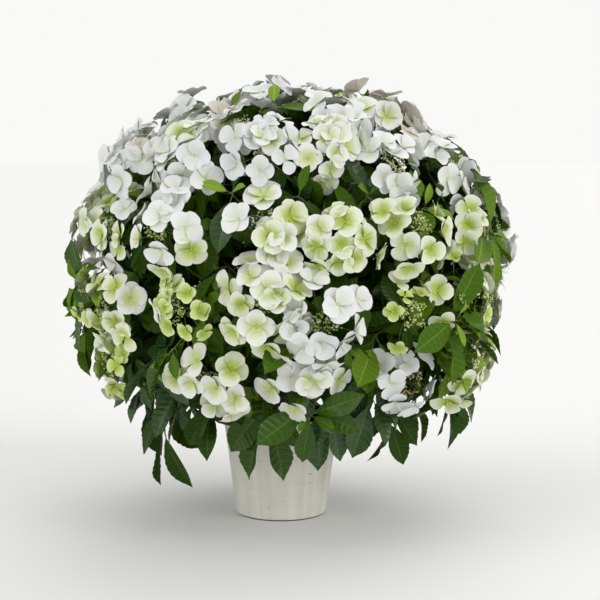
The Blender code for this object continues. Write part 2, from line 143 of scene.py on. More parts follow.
def bough_path(mass, steps):
    """From inside the stem, up and out to where the mass begins."""
    ring = mass.ring
    level = direction(90, mass.azimuth)
    launch = direction(90 - ring.launch, mass.azimuth)
    start = level * ring.offset + UP * (SOIL_TOP + ring.height)
    span = (mass.entry - start).length
    arrival = (mass.way + UP * 0.25).normalized()
    return curve(start, start + launch * span * 0.42, mass.entry - arrival * span * 0.30, mass.entry, steps)


def mass_stem(mass):
    """The stem of a mass: on from its bough's tip, then outward."""
    before, tip = bough_path(mass, BOUGH_STEPS)[-2:]
    way = (tip - before).normalized()
    end = on_dome(mass.way, MASS_STEM_SHARE)
    span = (end - tip).length
    return curve(tip, tip + way * span * 0.4, end - mass.way * span * 0.3, end, SHOOT_STEPS)


MASSES = place_masses()
print(len(MASSES), "masses of foliage")

# %% [markdown]
# ## Shoots
# Each mass keeps to its own room, which ends halfway to the next mass. A shoot's place comes from its ring, and the
# seeded draws move it a little, so that no two look alike. The draws come in the same order as in the solids,
# so that each flower head stands where its solid stands. Only the top ring's stand 10 mm lower, which keeps their
# florets from rising past the solids. Finer leaves take their draws from a second source.

# %% Rooms and shoots
def walls_between(centre, others):
    """The planes halfway from a centre to each of the others, as a direction and a distance along it."""
    walls = []
    for other in others:
        way = (other - centre).normalized()
        walls.append((way, way.dot(other + centre) / 2))
    return walls


def room_at(point, walls):
    """How far inside the walls a point is."""
    return min(limit - way.dot(point) for way, limit in walls)


SPREAD = 3
DRAWN_IN, DRAWN_TIMES = 0.04, 12


def shoot_ways(mass, places, room, walls, rng):
    """The directions of a mass's shoots, drawn in towards the mass until each has this much room."""
    ways = []
    for down, round_about in places:
        polar = mass.ring.polar + down + rng.uniform(-SPREAD, SPREAD)
        way = direction(polar, mass.azimuth + round_about + rng.uniform(-SPREAD, SPREAD))
        for _ in range(DRAWN_TIMES):
            if room_at(on_dome(way), walls) > room:
                break
            way = (way + mass.way * DRAWN_IN).normalized()
        ways.append(way)
    return ways


def shoot_path(stem, arrival, target, share):
    """A shoot from a share along the stem, curving round to end in the arrival direction."""
    root, stem_way = along(stem, share)
    span = (target - root).length
    return curve(root, root + stem_way * span * 0.35, target - arrival * span * 0.35, target, SHOOT_STEPS)

# %% Leaves within the plant's reach
LEAF_LENGTH = 0.078
LEAF_DROOP = 0.38
LEAF_ADVANCE = 0.32
TIP_ROOM = 0.021
HANGING_EASE = 0.80
TIP_BENDS, INWARD_BEND, DOWNWARD_BEND = 7, 0.14, 0.05
SHORTEST_LEAF = 0.03


def past_reach(point):
    """How far a point is out from the dome's centre, as a share of the reach that leaf tips may have."""
    out = Vector((p - c) / (r * 1.02 + TIP_ROOM) for p, c, r in zip(point, DOME_CENTRE, DOME_REACH, strict=True))
    out.z *= 1 if out.z > 0 else HANGING_EASE
    return out.length


def within_reach(root, way, length):
    """The way and length of a leaf, bent down and shortened until its tip is within reach."""
    outward = (root - DOME_CENTRE).normalized()
    for _ in range(TIP_BENDS):
        if past_reach(root + way * length) <= 1:
            break
        way = (way - outward * INWARD_BEND - UP * DOWNWARD_BEND).normalized()
    while past_reach(root + way * length) > 1 and length > SHORTEST_LEAF:
        length *= 0.9
    return way, length


def leaf_pairs(path, shares, quarter, length, rng, advance=LEAF_ADVANCE, droop=LEAF_DROOP):
    """Opposite leaves at shares along a shoot, each pair set a quarter turn from the one before."""
    leaves = []
    for pair, share in enumerate(shares):
        root, shoot_way = along(path, share)
        side, lift = frame_along(shoot_way)
        outward = (root - DOME_CENTRE).normalized()
        for opposite in (0, math.pi):
            angle = (quarter + pair) * math.pi / 2 + opposite + rng.uniform(-0.4, 0.4)
            level = side * math.cos(angle) + lift * math.sin(angle)
            way = (level + shoot_way * advance - UP * droop).normalized()
            way, size = within_reach(root, way, length * rng.uniform(0.8, 1.1))
            face = UP + outward * 1.1
            face = (face - way * face.dot(way)).normalized()
            leaves.append(Leaf(root, way, face, size))
    return leaves

# %% Flowering shoots
HEAD_ROOM = 0.040
HEAD_REACH = (0.95, 1.03)
TOP_EASE = 0.965
HEAD_SLOPE, HEAD_LIFT = 0.65, 0.05
SOLID_RIM_DRAWS = 6
FLOWERING_ROOTS = (0.35, 0.9)
FLOWERING_PAIRS = (0.62, 0.28)
FINER_PAIRS = ((0.45, 0, 0.90, LEAF_DROOP), (0.72, 1, 0.72, 0.75))


def flowering_shoots(mass, stem, walls, rng, fine):
    """Shoots that end in a flower head. The six draws that shape the solid's rim are passed over."""
    ease = TOP_EASE if mass.ring.name == "top" else 1.0
    ways = shoot_ways(mass, mass.ring.heads, HEAD_ROOM, walls, rng)
    targets = [on_dome(way, rng.uniform(*HEAD_REACH) * ease) for way in ways]
    shoots = []
    for number, target in enumerate(targets):
        outward = (target - DOME_CENTRE).normalized()
        face = Vector((outward.x, outward.y, outward.z * HEAD_SLOPE + HEAD_LIFT)).normalized()
        path = shoot_path(stem, face, target, rng.uniform(*FLOWERING_ROOTS))
        for _ in range(SOLID_RIM_DRAWS):
            rng.random()
        leaves = leaf_pairs(path, FLOWERING_PAIRS, number, LEAF_LENGTH, rng)
        for share, quarter, size, droop in FINER_PAIRS:
            leaves += leaf_pairs(path, (share,), number + quarter, LEAF_LENGTH * size, fine, droop=droop)
        others = walls_between(target, [other for other in targets if other is not target])
        shoots.append(Shoot(path, face, leaves, [], walls + others, False))
    return shoots

# %% Shoots of leaves alone
LEAFY_ROOM = 0.020
HANGING_DROOP = 1.0
LOWEST_FROM = 15
LEAFY_REACH = (0.88, 1.0)
HANGING_FALL, LEAFY_RISE = 1.1, 0.3
HANGING_ROOT, LEAFY_ROOT = 0.4, 0.75
LOWEST_PAIRS, LEAFY_PAIRS = (0.84, 0.70, 0.52, 0.33), (0.96, 0.80, 0.62, 0.35)


def leafy_shoots(mass, stem, walls, rng, fine):
    """Shoots between the heads, or hanging under the skirt. The lowest end in a full pair, the rest in a young one."""
    hanging = mass.ring.name == "skirt"
    shoots = []
    for number, way in enumerate(shoot_ways(mass, mass.ring.leafy, LEAFY_ROOM, walls, rng)):
        lowest = hanging and mass.ring.leafy[number][0] > LOWEST_FROM
        target = on_dome(way, rng.uniform(*LEAFY_REACH))
        arrival = (way - UP * HANGING_FALL if hanging else way + UP * LEAFY_RISE).normalized()
        path = shoot_path(stem, arrival, target, HANGING_ROOT if hanging else LEAFY_ROOT)
        droop = HANGING_DROOP if hanging else LEAF_DROOP
        shares = LOWEST_PAIRS if lowest else LEAFY_PAIRS
        leaves = leaf_pairs(path, shares[::2], number, LEAF_LENGTH, rng, droop=droop)
        droop *= fine.uniform(0.9, 1.7)
        leaves += leaf_pairs(path, shares[1::2], number + 1, LEAF_LENGTH * 0.9, fine, droop=droop)
        if lowest:
            size = LEAF_LENGTH * fine.uniform(0.8, 1.15)
            leaves += leaf_pairs(path, (0.995,), number, size, fine, advance=0.9, droop=fine.uniform(0.8, 2.6))
        young = leaf_pairs(path, (0.99,), number + 1, LEAF_LENGTH * 0.5, fine, advance=1.1, droop=0.2)
        shoots.append(Shoot(path, way, leaves, [] if lowest else young, walls, lowest))
    return shoots

# %% Shaded shoots
SHADED_SHOOTS = 11
SHADED_SPREAD, SHADED_REACH, SHADED_ROOTS = (0.25, 0.5), (0.62, 0.80), (0.1, 0.5)
STEM_PAIRS, SHADED_PAIRS = (0.1, 0.35, 0.6, 0.85), (0.98, 0.62, 0.3)


def shaded_shoots(mass, stem, fine):
    """Paths inside the mass, and all leaves in the shade: theirs and the stem's own."""
    leaves = leaf_pairs(stem, STEM_PAIRS, 0, LEAF_LENGTH, fine)
    side, lift = frame_along(mass.way)
    paths = []
    for number in range(SHADED_SHOOTS):
        bearing = math.tau * number / SHADED_SHOOTS + fine.uniform(-0.4, 0.4)
        sideways = (side * math.cos(bearing) + lift * math.sin(bearing)) * fine.uniform(*SHADED_SPREAD)
        way = (mass.way + sideways).normalized()
        target = on_dome(way, fine.uniform(*SHADED_REACH))
        paths.append(shoot_path(stem, way, target, fine.uniform(*SHADED_ROOTS)))
        leaves += leaf_pairs(paths[-1], SHADED_PAIRS, number, LEAF_LENGTH, fine)
    return paths, leaves

# %% Growing every mass
SEED, FINE_SEED = 41, 900
Growth = namedtuple("Growth", "stem flowering leafy shaded inner")
GROWN = {}
for number, mass in enumerate(MASSES):
    walls = walls_between(mass.centre, [other.centre for other in MASSES if other is not mass])
    rng, fine = random.Random(SEED + number), random.Random(FINE_SEED + number)
    stem = mass_stem(mass)
    flowering = flowering_shoots(mass, stem, walls, rng, fine)
    leafy = leafy_shoots(mass, stem, walls, rng, fine)
    GROWN[mass.name] = Growth(stem, flowering, leafy, *shaded_shoots(mass, stem, fine))
print(sum(len(grown.flowering) for grown in GROWN.values()), "flower heads")

# %% [markdown]
# ## Sprays that stand out
# Here and there a young spray of leaves grows past the flowers and breaks their dome. Such sprays are few, so each
# has a place of its own, as an angle from straight up and one round about, and pushes the florets near it aside.

# %% Standing sprays
SPRAY_PLACES = (
    (97, -45), (74, -24), (58, -6), (124, -84), (89, -163), (104, -174),
    (82, 62), (97, 118), (70, 150), (58, 96), (100, 24),
)
SPRAY_REACH = 1.025
SPRAY_ROOT = 0.6
HANGING_BELOW = -0.4
SPRAYS = {mass.name: [] for mass in MASSES}
for number, place in enumerate(SPRAY_PLACES):
    way = direction(*place)
    mass = max(MASSES, key=lambda mass: mass.way.dot(way))
    fine = random.Random(f"spray {number}")
    path = shoot_path(mass_stem(mass), way, on_dome(way, SPRAY_REACH), SPRAY_ROOT)
    leaves = leaf_pairs(path, (0.99, 0.90), number, LEAF_LENGTH * 1.05, fine, advance=0.45, droop=0.35)
    young = leaf_pairs(path, (0.995,), number + 1, LEAF_LENGTH * 0.45, fine, advance=1.0, droop=0.1)
    SPRAYS[mass.name].append(Shoot(path, way, leaves, young, [], way.z < HANGING_BELOW))
print(sum(map(len, SPRAYS.values())), "standing sprays")

# %% [markdown]
# ## Meshes in bulk
# Thousands of sepals and leaves are too many to make one object at a time. Each kind is worked out as one array:
# a small grid of points, bent by each one's own numbers and laid in its own place. The arrays go into one mesh
# for each kind of piece, with the finish chosen face by face through material slots.

# %% Heaps of like pieces
class Heap:
    """Points and faces that become one object."""

    def __init__(self):
        self.points, self.faces, self.slots, self.count = [], [], [], 0

    def add(self, points, faces, slots):
        """Adds a batch: points (pieces, points, 3), one list of faces for all, a slot for each face of each piece."""
        pieces, size = points.shape[:2]
        starts = self.count + size * np.arange(pieces)
        self.points.append(points.reshape(-1, 3))
        self.faces.append((faces[None, :, :] + starts[:, None, None]).reshape(-1, faces.shape[1]))
        self.slots.append(np.broadcast_to(slots, (pieces, len(faces))).reshape(-1))
        self.count += pieces * size

    def add_wall(self, rings, slots=0, inward=False):
        """Adds one closed wall through rings of points (rings, turns, 3), with a face over each end."""
        count, turns = rings.shape[:2]
        quads, ends = wall_faces(turns, count)
        if inward:
            quads, ends = quads[:, [0, 3, 2, 1]], ends[:, ::-1]
        ends = ends + self.count
        self.add(rings.reshape(1, -1, 3), quads, slots)
        self.faces.append(ends)
        self.slots.append(np.zeros(2, dtype=int))

    def make(self, name, materials, smooth=True):
        """The heap as an object that rides on the root body."""
        mesh = bpy.data.meshes.new(name)
        points = np.concatenate(self.points)
        corners = np.concatenate([faces.ravel() for faces in self.faces])
        sizes = np.concatenate([np.full(len(faces), faces.shape[1]) for faces in self.faces])
        mesh.vertices.add(len(points))
        mesh.vertices.foreach_set("co", points.ravel())
        mesh.loops.add(len(corners))
        mesh.loops.foreach_set("vertex_index", corners)
        mesh.polygons.add(len(sizes))
        mesh.polygons.foreach_set("loop_start", np.concatenate([[0], np.cumsum(sizes)[:-1]]))
        mesh.polygons.foreach_set("material_index", np.concatenate(self.slots))
        mesh.update(calc_edges=True)
        mesh.validate()
        for material in materials:
            mesh.materials.append(material)
        if smooth:
            mesh.shade_smooth()
        piece = bpy.data.objects.new(name, mesh)
        bpy.context.scene.collection.objects.link(piece)
        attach(piece, "root")
        print(name, int((sizes - 2).sum()), "triangles")
        return piece

# %% Faces of grids and walls
def grid_quads(rows, columns):
    """The quads of a grid of rows by columns of squares."""
    row, column = np.meshgrid(np.arange(rows), np.arange(columns), indexing="ij")
    corner = (row * (columns + 1) + column).ravel()
    return np.stack([corner, corner + columns + 1, corner + columns + 2, corner + 1], axis=1)


def wall_faces(turns, rings):
    """The quads between closed rings of this many points, and the face over each end."""
    column = np.arange(turns)
    following = (column + 1) % turns
    ring = np.stack([column, following, following + turns, column + turns], axis=1)
    quads = np.concatenate([ring + row * turns for row in range(rings - 1)])
    return quads, np.stack([column[::-1], column + (rings - 1) * turns])


def round_points(radius, angle, height):
    """Points at these radii, angles and heights about the upright axis."""
    return np.stack(np.broadcast_arrays(radius * np.cos(angle), radius * np.sin(angle), height), axis=-1)

# %% Laying pieces in their places
def unit(vectors):
    """Each vector at length one."""
    return vectors / np.linalg.norm(vectors, axis=-1, keepdims=True)


def laid(local, ways, faces, origins):
    """Local points (x along way, z along face) laid at their places."""
    ways = unit(ways)
    across = unit(np.cross(faces, ways))
    axes = np.stack([ways, across, np.cross(ways, across)], axis=1)
    return np.einsum("npk,nkj->npj", local, axes) + origins[:, None, :]

# %% Tubes for twigs and stalks
def tubes(paths, radii, sides):
    """Points and faces of round limbs along paths (limbs, steps, 3), with closed ends."""
    steps = paths.shape[1]
    ahead = unit(np.diff(paths, axis=1))
    ways = unit(np.concatenate([ahead[:, :1], ahead[:, 1:] + ahead[:, :-1], ahead[:, -1:]], axis=1))
    helper = np.where(np.abs(ways[:, :1, 2:]) < 0.9, [[[0.0, 0.0, 1.0]]], [[[1.0, 0.0, 0.0]]])
    side = unit(np.cross(ways[:, 0], helper[:, 0]))
    angles = math.tau * np.arange(sides) / sides
    rings = []
    for step in range(steps):
        way = ways[:, step]
        side = unit(side - way * np.sum(side * way, axis=1, keepdims=True))
        lift = np.cross(way, side)
        ring = side[:, None] * np.cos(angles)[None, :, None] + lift[:, None] * np.sin(angles)[None, :, None]
        rings.append(paths[:, step, None] + ring * radii[:, step, None, None])
    return np.concatenate(rings, axis=1), *wall_faces(sides, steps)


def add_tubes(heap, paths, radii, sides, slot):
    """Adds round limbs to a heap."""
    points, quads, ends = tubes(paths, radii, sides)
    start = heap.count
    heap.add(points, quads, slot)
    pieces, size = points.shape[:2]
    caps = (ends[None, :, :] + (start + size * np.arange(pieces))[:, None, None]).reshape(-1, sides)
    heap.faces.append(caps)
    heap.slots.append(np.full(2 * pieces, slot))

# %% [markdown]
# ## Finishes of the living parts
# A leaf is waxy and deep green, a sepal is matt and white and turns green towards its eye. On so many small sheets a
# pattern would be lost, so each finish is a plain colour, and the colours change from spray to spray and from the
# eye of a floret to its edge. Relief and gloss then do the rest.

# %% A plain finish
def plain(name, colour, roughness, specular=0.5, sheen=0.0):
    """A finish of one colour, all set on the shader's own sockets."""
    material = bpy.data.materials.new(name)
    material.use_nodes = True
    shader = material.node_tree.nodes["Principled BSDF"]
    shader.inputs["Base Color"].default_value = (*colour, 1)
    shader.inputs["Roughness"].default_value = roughness
    shader.inputs["Specular IOR Level"].default_value = specular
    shader.inputs["Sheen Weight"].default_value = sheen
    material.diffuse_color = (*colour, 1)
    return material

# %% Greens of the leaves
LEAF_GREENS = {
    "deep": ((0.009, 0.025, 0.002), 0.50, 0.10),
    "dark": ((0.024, 0.062, 0.003), 0.38, 0.10),
    "glossy": ((0.038, 0.094, 0.004), 0.22, 0.24),
    "blue_green": ((0.036, 0.088, 0.018), 0.25, 0.38),
    "mid": ((0.064, 0.142, 0.005), 0.30, 0.12),
    "light": ((0.112, 0.208, 0.012), 0.34, 0.12),
    "fresh": ((0.215, 0.345, 0.036), 0.42, 0.15),
}
LEAF_NAMES = list(LEAF_GREENS)
LEAF_FINISHES = []
PALER_PARTS = (("rib_", 1.6, 0.020), ("vein_", 1.22, 0.005))
for name, (colour, roughness, specular) in LEAF_GREENS.items():
    LEAF_FINISHES.append(plain("leaf_" + name, colour, roughness, specular))
    for part, gain, lift in PALER_PARTS:
        paler = tuple(min(gain * value + lift, 1) for value in colour)
        LEAF_FINISHES.append(plain(part + name, paler, roughness + 0.1, specular))

# %% Stages of the sepals
STAGES = {
    "bright": ((0.60, 0.68, 0.36), (0.79, 0.83, 0.70), (0.865, 0.875, 0.865), (0.88, 0.89, 0.89)),
    "cool": ((0.56, 0.63, 0.38), (0.73, 0.77, 0.68), (0.79, 0.81, 0.82), (0.83, 0.845, 0.86)),
    "warm": ((0.38, 0.49, 0.09), (0.60, 0.68, 0.26), (0.84, 0.855, 0.79), (0.87, 0.875, 0.86)),
    "cream": ((0.31, 0.42, 0.03), (0.44, 0.56, 0.06), (0.80, 0.84, 0.63), (0.87, 0.88, 0.82)),
    "lime": ((0.27, 0.39, 0.02), (0.38, 0.51, 0.04), (0.62, 0.72, 0.26), (0.78, 0.83, 0.58)),
    "aged": ((0.50, 0.48, 0.30), (0.64, 0.61, 0.50), (0.71, 0.67, 0.60), (0.75, 0.70, 0.65)),
}
STAGE_NAMES = list(STAGES)
ZONES = {"eye": 0.0, "throat": 1.0, "glow": 1.14, "soft": 1.42, "pale": 1.72, "blade": 2.0, "edge": 3.0}


def between(colours, place):
    """The colour at a place along a row of colours."""
    step = min(int(place), len(colours) - 2)
    return tuple(a + (b - a) * (place - step) for a, b in zip(colours[step], colours[step + 1], strict=True))


SEPAL_FINISHES = [
    plain(f"sepal_{stage}_{zone}", between(colours, place), 0.62, 0.35, 0.08)
    for stage, colours in STAGES.items()
    for zone, place in ZONES.items()
]
print(len(SEPAL_FINISHES), "sepal finishes")

# %% Twigs and buds
TWIG_FINISHES = [
    plain("twig_green", (0.12, 0.20, 0.035), 0.48),
    plain("twig_brown", (0.13, 0.10, 0.045), 0.62),
    plain("stalk_pale", (0.15, 0.21, 0.055), 0.50),
]
GREEN, BROWN, PALE = 0, 1, 2
BEAD_FINISHES = [
    plain("bud_lime", (0.52, 0.62, 0.20), 0.55),
    plain("bud_cream", (0.76, 0.77, 0.50), 0.55),
    plain("bud_green", (0.33, 0.44, 0.13), 0.55),
    plain("bud_tan", (0.50, 0.41, 0.22), 0.60),
]
print(len(bpy.data.materials), "finishes so far")

# %% [markdown]
# ## Flower heads
# A head is a loose ring of large florets round a flat cluster of buds, with a few florets hanging lower at its rim.
# Only the places are worked out here, since the leaves have to find their way between the florets.
# Heads of different age stand side by side: lime-green ones that have just opened, cream and white ones in full
# flower, and dull pinkish ones that are going over. They aren't mixed evenly on the real plant. The youngest crowd
# on its flanks and in a few places in front and behind, the oldest high up on both sides and at the back, so a head's
# stage is drawn with odds that depend on its place. The seed of these draws wasn't taken blind: out of some two
# thousand it was chosen for how the stages fall on the front.

# %% The younger and older sides
YOUNG_SIDES = (
    (Vector((0.19, -0.21, 0.36)), 0.125),
    (Vector((0.28, -0.10, 0.31)), 0.105),
    (Vector((0.08, -0.27, 0.42)), 0.065),
    (Vector((-0.25, -0.14, 0.32)), 0.125),
    (Vector((-0.05, -0.28, 0.39)), 0.070),
    (Vector((-0.10, 0.26, 0.36)), 0.110),
    (Vector((0.22, 0.18, 0.30)), 0.080),
)
OLD_SIDES = (
    (Vector((0.20, -0.06, 0.56)), 0.085),
    (Vector((-0.19, -0.08, 0.57)), 0.060),
    (Vector((0.12, 0.25, 0.50)), 0.080),
)
RIPE_FROM, RIPE_OVER = 0.46, 0.10


def nearness(point, sides):
    """How near a point is to the nearest of some sides of the plant, from 0 to 1."""
    return max(math.exp(-(((point - centre).length / radius) ** 2)) for centre, radius in sides)


def head_stage(point, rng):
    """The number of a stage for a flower head at this point."""
    young, old = nearness(point, YOUNG_SIDES), nearness(point, OLD_SIDES)
    fresh = 1 - max(young, old)
    ripe = min(max((point.z - RIPE_FROM) / RIPE_OVER, 0), 1)
    weights = (
        1.6 * fresh + 0.04, (0.9 + 0.8 * ripe) * fresh + 0.3 * old, (0.9 - 0.5 * ripe) * fresh + 0.1,
        (0.12 + 4.0 * young) * (1 - ripe), (0.02 + 3.0 * young) * (1 - ripe), 6.5 * old,
    )
    return rng.choices(range(len(STAGE_NAMES)), weights)[0]

# %% The florets' places
HEAD_MIDDLE = 0.005
FLORET_RING = 0.0365
FLORET_RADIUS = 0.0232
RING_COUNTS, RISEN_COUNTS = (6, 7, 7), (0, 0, 1, 2, 3)
LOW_RING, LOW_ODDS = 0.052, 0.48
LEAST_ROOM, MISSING_ODDS = 0.60, 0.08
STRAY = 0.36
LIME_HEAD, LIME_FLORET = 0.86, 0.74
ODD_SHARE, ODD_SHARE_AGED = 0.16, 0.5
ODD_FLORETS = {
    "bright": ("warm", "cool", "cream"),
    "cool": ("warm", "bright", "aged"),
    "warm": ("bright", "cream", "cream"),
    "cream": ("warm", "lime", "bright"),
    "lime": ("bright", "warm", "cream", "cream"),
    "aged": ("bright", "cool", "warm"),
}
Floret = namedtuple("Floret", "middle face size stage opening")
Head = namedtuple("Head", "middle face stage florets neck")

# %% Making a head
def draw_in(middle, point, walls):
    """The share of the way out from the middle to the point that the walls leave."""
    share = 1.0
    for way, limit in walls:
        outward = way.dot(point - middle)
        if outward > 0:
            share = min(share, (limit - way.dot(middle)) / outward)
    return share


def make_head(shoot, rng):
    """A head's florets: a loose ring of them, and a few in the middle that stand higher."""
    neck, face = shoot.path[-1], shoot.face
    middle = neck + face * HEAD_MIDDLE
    side, lift = frame_along(face)
    stage = head_stage(middle, rng)
    size = rng.uniform(0.92, 1.08) * (LIME_HEAD if STAGE_NAMES[stage] == "lime" else 1.0)
    places = []
    ring_count = rng.choice(RING_COUNTS)
    first = rng.uniform(0, math.tau)
    for number in range(ring_count):
        angle = first + math.tau * (number + rng.uniform(-0.30, 0.30)) / ring_count
        places.append((angle, FLORET_RING * rng.uniform(0.76, 1.14), rng.uniform(-0.007, 0.004), rng.uniform(8, 60)))
    for number in range(ring_count):
        if rng.random() < LOW_ODDS:
            angle = first + math.tau * (number + rng.uniform(0.3, 0.7)) / ring_count
            places.append((angle, LOW_RING * rng.uniform(0.9, 1.1), rng.uniform(-0.018, -0.008), rng.uniform(40, 80)))
    for number in range(rng.choice(RISEN_COUNTS)):
        angle = rng.uniform(0, math.tau)
        places.append((angle, rng.uniform(0.008, 0.020), rng.uniform(0.004, 0.009), rng.uniform(0, 18)))
    florets = []
    for angle, ring, height, tilt in places:
        out = side * math.cos(angle) + lift * math.sin(angle)
        point = middle + out * ring * size + face * height
        share = draw_in(middle, point, shoot.walls)
        if share < LEAST_ROOM or rng.random() < MISSING_ODDS:
            continue
        point = middle.lerp(point, min(share + 0.15, 1.0))
        lean = math.radians(tilt)
        stray = side * rng.uniform(-STRAY, STRAY) + lift * rng.uniform(-STRAY, STRAY)
        looks = (face * math.cos(lean) + out * math.sin(lean) + stray).normalized()
        floret_stage = stage
        if rng.random() < (ODD_SHARE_AGED if STAGE_NAMES[stage] == "aged" else ODD_SHARE):
            floret_stage = STAGE_NAMES.index(rng.choice(ODD_FLORETS[STAGE_NAMES[stage]]))
        opening = rng.uniform(0.0, 1.0)
        radius = FLORET_RADIUS * size * rng.uniform(0.86, 1.10)
        radius *= LIME_FLORET if STAGE_NAMES[floret_stage] == "lime" else 1.0
        florets.append(Floret(point, looks, radius, floret_stage, opening))
    return Head(middle, face, stage, florets, neck)

# %% Florets that make way
FLORET_CUP = 0.30
FLORET_ROOM = 0.021
SPRAY_GAP, LEAF_GAP = 0.007, 0.0042
LEAF_SPOTS = np.array(
    [(0.3, 0), (0.5, 0.2), (0.5, 0), (0.5, -0.2), (0.75, 0.17), (0.75, 0), (0.75, -0.17), (0.95, 0), (1.1, 0)]
)
SPRAY_LEAVES = [leaf for sprays in SPRAYS.values() for spray in sprays for leaf in spray.leaves + spray.young]


def crossings(leaf, middles, faces, within):
    """Which spots of a leaf run through which florets, whose sepals rise towards their edge."""
    axes = np.array([leaf.way, leaf.way.cross(leaf.face)]) * leaf.length
    out = (np.array(leaf.root) + LEAF_SPOTS @ axes)[:, None] - middles
    height = np.sum(out * faces, axis=2)
    radius = np.linalg.norm(out - height[..., None] * faces, axis=2)
    return (radius < FLORET_ROOM) & (np.abs(height - FLORET_CUP * radius) < within)


def in_the_open(head):
    """The head without the florets that a standing spray pushes aside."""
    middles, faces = (np.array([tuple(f[part]) for f in head.florets]).reshape(-1, 3) for part in (0, 1))
    crossed = sum(crossings(leaf, middles, faces, SPRAY_GAP).any(axis=0) for leaf in SPRAY_LEAVES)
    return head._replace(florets=[floret for floret, cut in zip(head.florets, crossed, strict=True) if not cut])

# %% All the heads
BLOOM_SEED = "bloom 7 of "
HEADS = {}
for mass in MASSES:
    draw = random.Random(BLOOM_SEED + mass.name)
    HEADS[mass.name] = [in_the_open(make_head(shoot, draw)) for shoot in GROWN[mass.name].flowering]
print(sum(len(head.florets) for heads in HEADS.values() for head in heads), "florets")

# %% [markdown]
# ## Leaves
# A hydrangea leaf is egg-shaped with a drawn-out tip and a toothed edge. Its side veins lie in furrows and curve
# towards the tip, and the blade swells between them. A flat card with a pattern would look like paper, so the blade
# is a grid whose rows follow the side veins: every third row of faces is a narrow strip pressed down as a vein, and
# the two wider rows between stand up as a ridge. The narrow middle strip is the midrib. Ribs and veins have their own
# lighter finishes. Leaves deep in the shade get a coarser grid in one finish.

# %% The leaf blade
BLADE, RIB, VEIN = 0, 1, 2
Blade = namedtuple("Blade", "rows columns quads kinds")


def blade_grid(rows, columns, veined):
    """A blade's grid, with each face told as blade, rib or vein."""
    columns = np.array(columns)
    strips = len(columns) - 1
    quads = grid_quads(rows, strips)
    row, strip = np.divmod(np.arange(len(quads)), strips)
    kinds = np.where(strip == strips // 2, RIB, np.where(row % 3 == 0, VEIN, BLADE)) * veined
    return Blade(rows, columns, quads, kinds)


VEINED = blade_grid(24, (-1, -0.55, -0.045, 0.045, 0.55, 1), True)
SHADED = blade_grid(6, (-1, -0.5, 0, 0.5, 1), False)
ROW_PLACES = np.array([0.0, 0.18, 0.6])
ROW_SWELLS = np.array([-1.0, -1.0, 0.8])
BASE_CURVE, TIP_CURVE = 0.74, 0.86
WIDEST = BASE_CURVE / (BASE_CURVE + TIP_CURVE)


def leaf_outline(u):
    """Half the leaf's width at a share of its length, from 0 to 1."""
    shape = u**BASE_CURVE * (1 - u) ** TIP_CURVE * (1 - 0.5 * u**9)
    return np.maximum(shape / (WIDEST**BASE_CURVE * (1 - WIDEST) ** TIP_CURVE), 0.020)


def blade_points(grid, length, width, fold, arch, quilt, wave, twist, phase):
    """The points of leaf blades on a grid, each other argument an array with one value for each leaf."""
    length, width, fold, arch, quilt, wave, twist, phase = (
        value[:, None, None] for value in (length, width, fold, arch, quilt, wave, twist, phase)
    )
    row = np.arange(grid.rows + 1)
    u = ((row // 3 + ROW_PLACES[row % 3]) * 3 / grid.rows)[None, :, None]
    v = grid.columns[None, None, :]
    swell = ROW_SWELLS[row % 3][None, :, None]
    half = leaf_outline(u)
    tooth = np.where(np.abs(v) > 0.99, 1 + 0.024 * swell, 1.0)
    x = length * (u + 0.17 * np.abs(v) ** 1.3 * half * (1 - 0.75 * u))
    y = length * width / 2 * half * v * tooth
    z = fold * np.abs(y) - arch * length * u**2
    z += quilt * length * 0.030 * swell * half * np.sqrt(np.abs(v)) * (1 - 0.88 * v**6) * (np.abs(v) > 0.1)
    z += wave * length * 0.05 * np.sin(2.6 * math.pi * u + phase) * v * half
    z -= 0.006 * length * (np.abs(v) < 0.1)
    turn = twist * u
    y, z = y * np.cos(turn) - z * np.sin(turn), y * np.sin(turn) + z * np.cos(turn)
    return np.stack(np.broadcast_arrays(x, y, z), axis=-1).reshape(len(length), -1, 3)

# %% [markdown]
# Leaves of one spray share one green. New sprays are light, and the leaves in the shaded inside of the plant are dealt
# nearly black greens, which is painted shade. A few sprays catch a bluish bloom. The draws decide, weighted by where
# the spray stands: the plant has younger sides, with lighter leaves and greener flowers, and its hanging fringe is
# darkest.

# %% Weights of the greens
UNDER_FLOWERS = (0.6, 1.6, 2.8, 1.3, 3.0, 1.4, 0.3)
OUTER_SPRAY = (0.3, 1.2, 2.7, 1.2, 3.2, 1.8, 0.5)
YOUNG_SPRAY = (0.2, 0.8, 2.0, 0.6, 3.0, 2.6, 0.8)
HANGING_SPRAY = (0.5, 3.0, 3.2, 1.2, 1.1, 0.5, 0.1)
STANDING_SPRAY = (0, 0.6, 2, 1, 4, 1, 0)
YOUNG_TIPS = (0, 0, 0, 0, 1, 2, 3)
# The darkest greens, for leaves in the shade inside the plant: painted shade.
IN_SHADE = (2, 3, 1, 0, 1, 0, 0)
YOUNG_FROM, LIGHT_FROM = 0.3, 0.2

# %% Adding blades and their stalks
LEAF_STALK = (0.10, 0.17)
LEAF_SHAPES = {
    "width": (0.40, 0.53), "fold": (0.12, 0.60), "arch": (-0.02, 0.28), "quilt": (0.7, 1.3), "wave": (0.0, 1.0),
    "twist": (-0.35, 0.35), "phase": (0, math.tau),
}
STALK_RADII = (0.016, 0.012, 0.010)


